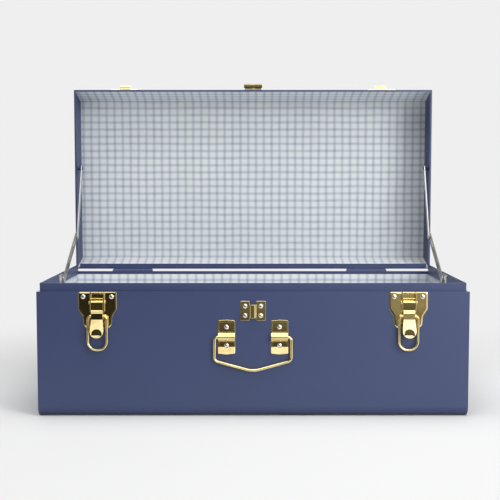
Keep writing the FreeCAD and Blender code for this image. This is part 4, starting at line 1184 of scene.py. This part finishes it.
def screen_material():
    """The screen's own glowing levels, by place: painted reflections for the gloss."""
    material, tree, shader, coordinates = new_material("dark_screen")
    tree.nodes.remove(shader)
    split = add_node(tree, "ShaderNodeSeparateXYZ", {0: coordinates.outputs["Object"]})
    x, y, z = split.outputs
    # painted reflection: the panels glow darkest at the left and lighter to the right, darker low
    # down and high up
    colour = mix_colour(
        tree, map_range(tree, x, -0.55, 0.6), (0.022, 0.019, 0.012), (0.31, 0.285, 0.23)
    )
    wing = map_range(tree, x, -1.25, -1.0, 1.0, 0.0)
    colour = mix_colour(tree, wing, colour, (0.16, 0.15, 0.13))
    above_foot = map_range(tree, z, -0.26, -0.14)
    colour = mix_colour(tree, above_foot, (0.05, 0.045, 0.03), colour)
    high = map_range(tree, z, 0.3, 0.55)
    colour = mix_colour(tree, high, colour, (0.035, 0.031, 0.022))
    # the flag's outer parts glow lighter than its middle, a painted reflection
    flag = map_range(tree, y, -0.8, -0.5)
    aside = map_range(tree, math_node(tree, "ABSOLUTE", x), 0.1, 0.14)
    outer = math_node(tree, "MULTIPLY", flag, aside)
    colour = mix_colour(tree, outer, colour, (0.33, 0.31, 0.25))
    glow = add_node(tree, "ShaderNodeEmission", {"Color": colour})
    tree.links.new(glow.outputs[0], tree.nodes["Material Output"].inputs["Surface"])
    return material


def dark_screen():
    """Dark glowing panels behind the camera, seen only in the metal's and the enamel's gloss as
    painted reflections.
    """
    side, left, shade, inner, right = -2.6, -1.0, -0.34, 0.35, 0.75
    low, high, middle, tall = -1.2, 0.5, 1.35, 2.2
    place, wing, back = -2.2, -1.0, -0.9
    upright = (
        (left, right, low, high),
        (left, inner, high, middle),
        (left, shade, middle, tall),
    )
    panels = [
        [(one, place, foot), (two, place, foot), (two, place, top), (one, place, top)]
        for one, two, foot, top in upright
    ]
    panels += [
        [(side, wing, low), (left, place, low), (left, place, tall), (side, wing, tall)],
        [(side, back, tall), (side, place, tall), (shade, place, tall), (shade, back, tall)],
        # a small flag that only the top fittings of the open lid see
        [(-0.23, 0.0, 0.475), (0.23, 0.0, 0.475), (0.23, 0.07, 0.6), (-0.23, 0.07, 0.6)],
    ]
    screen = panel_object("dark_screen", panels, screen_material())
    for sight in ("camera", "diffuse", "shadow", "transmission"):
        setattr(screen, "visible_" + sight, False)


class TRUNK_OT_stage(bpy.types.Operator):
    """Camera, floor, backdrop and soft light"""

    bl_idname = "trunk.stage"
    bl_label = "Stage"

    def execute(self, context):
        stage = settings("stage")
        scene = context.scene
        data = bpy.data.cameras.new("camera")
        data.lens = stage.lens
        data.sensor_width = 36.0
        data.shift_x = PICTURE_SHIFT / IMAGE_WIDTH
        data.clip_start = 0.01
        data.clip_end = 50.0
        camera = bpy.data.objects.new("camera", data)
        camera.location = stage.camera_place
        camera.rotation_euler = (math.pi / 2 - stage.camera_tilt, 0.0, 0.0)
        scene.collection.objects.link(camera)
        scene.camera = camera

        pale = floor_material(stage.backdrop_grey)
        near, far = -0.475, 4.0
        floor = panel_object("floor", [ground_panel(near, far)], pale)
        # the floor in front, which keeps out of the gloss
        apron = panel_object("floor_apron", [ground_panel(-far, near)], pale)
        apron.visible_glossy = False

        world = bpy.data.worlds.new("studio")
        scene.world = world
        world.use_nodes = True
        tree = world.node_tree
        levels = ((level, level, level) for level in (stage.fill_level, stage.backdrop_grey))
        colour = mix_colour(tree, seen_directly(tree), *levels)
        tree.links.new(colour, tree.nodes["Background"].inputs["Color"])

        dark_screen()
        for *values, blind in LAMPS:
            lamp = area_light(*values)
            if blind:
                setattr(lamp, "visible_" + blind, False)
        scene.view_settings.view_transform = "Standard"
        return {"FINISHED"}


class TRUNK_PT_panel(bpy.types.Panel):
    """The trunk's pieces and stage"""

    bl_idname = "TRUNK_PT_panel"
    bl_label = "Steel Trunk"
    bl_space_type = "VIEW_3D"
    bl_region_type = "UI"
    bl_category = "Trunk"

    def draw(self, context):
        for operator in OPERATORS:
            self.layout.operator(operator.bl_idname)
        for group in SETTINGS:
            values = getattr(context.scene, "trunk_" + group)
            for name in values.__annotations__:
                self.layout.prop(values, name)


SETTINGS = {
    "shell": TrunkShellSettings,
    "lining": TrunkLiningSettings,
    "fittings": TrunkFittingSettings,
    "stage": TrunkStageSettings,
}
OPERATORS = (
    TRUNK_OT_shell,
    TRUNK_OT_lining,
    TRUNK_OT_latches,
    TRUNK_OT_handle,
    TRUNK_OT_hasp,
    TRUNK_OT_hinges,
    TRUNK_OT_stays,
    TRUNK_OT_rivets,
    TRUNK_OT_stage,
)


def register():
    for name, group in SETTINGS.items():
        bpy.utils.register_class(group)
        setattr(bpy.types.Scene, "trunk_" + name, PointerProperty(type=group))
    for operator in OPERATORS:
        bpy.utils.register_class(operator)
    bpy.utils.register_class(TRUNK_PT_panel)


def unregister():
    bpy.utils.unregister_class(TRUNK_PT_panel)
    for operator in reversed(OPERATORS):
        bpy.utils.unregister_class(operator)
    for name, group in SETTINGS.items():
        delattr(bpy.types.Scene, "trunk_" + name)
        bpy.utils.unregister_class(group)


def main():
    register()
    for operator in OPERATORS:
        family, action = operator.bl_idname.split(".")
        getattr(getattr(bpy.ops, family), action)()


if __name__ == "__main__":
    main()
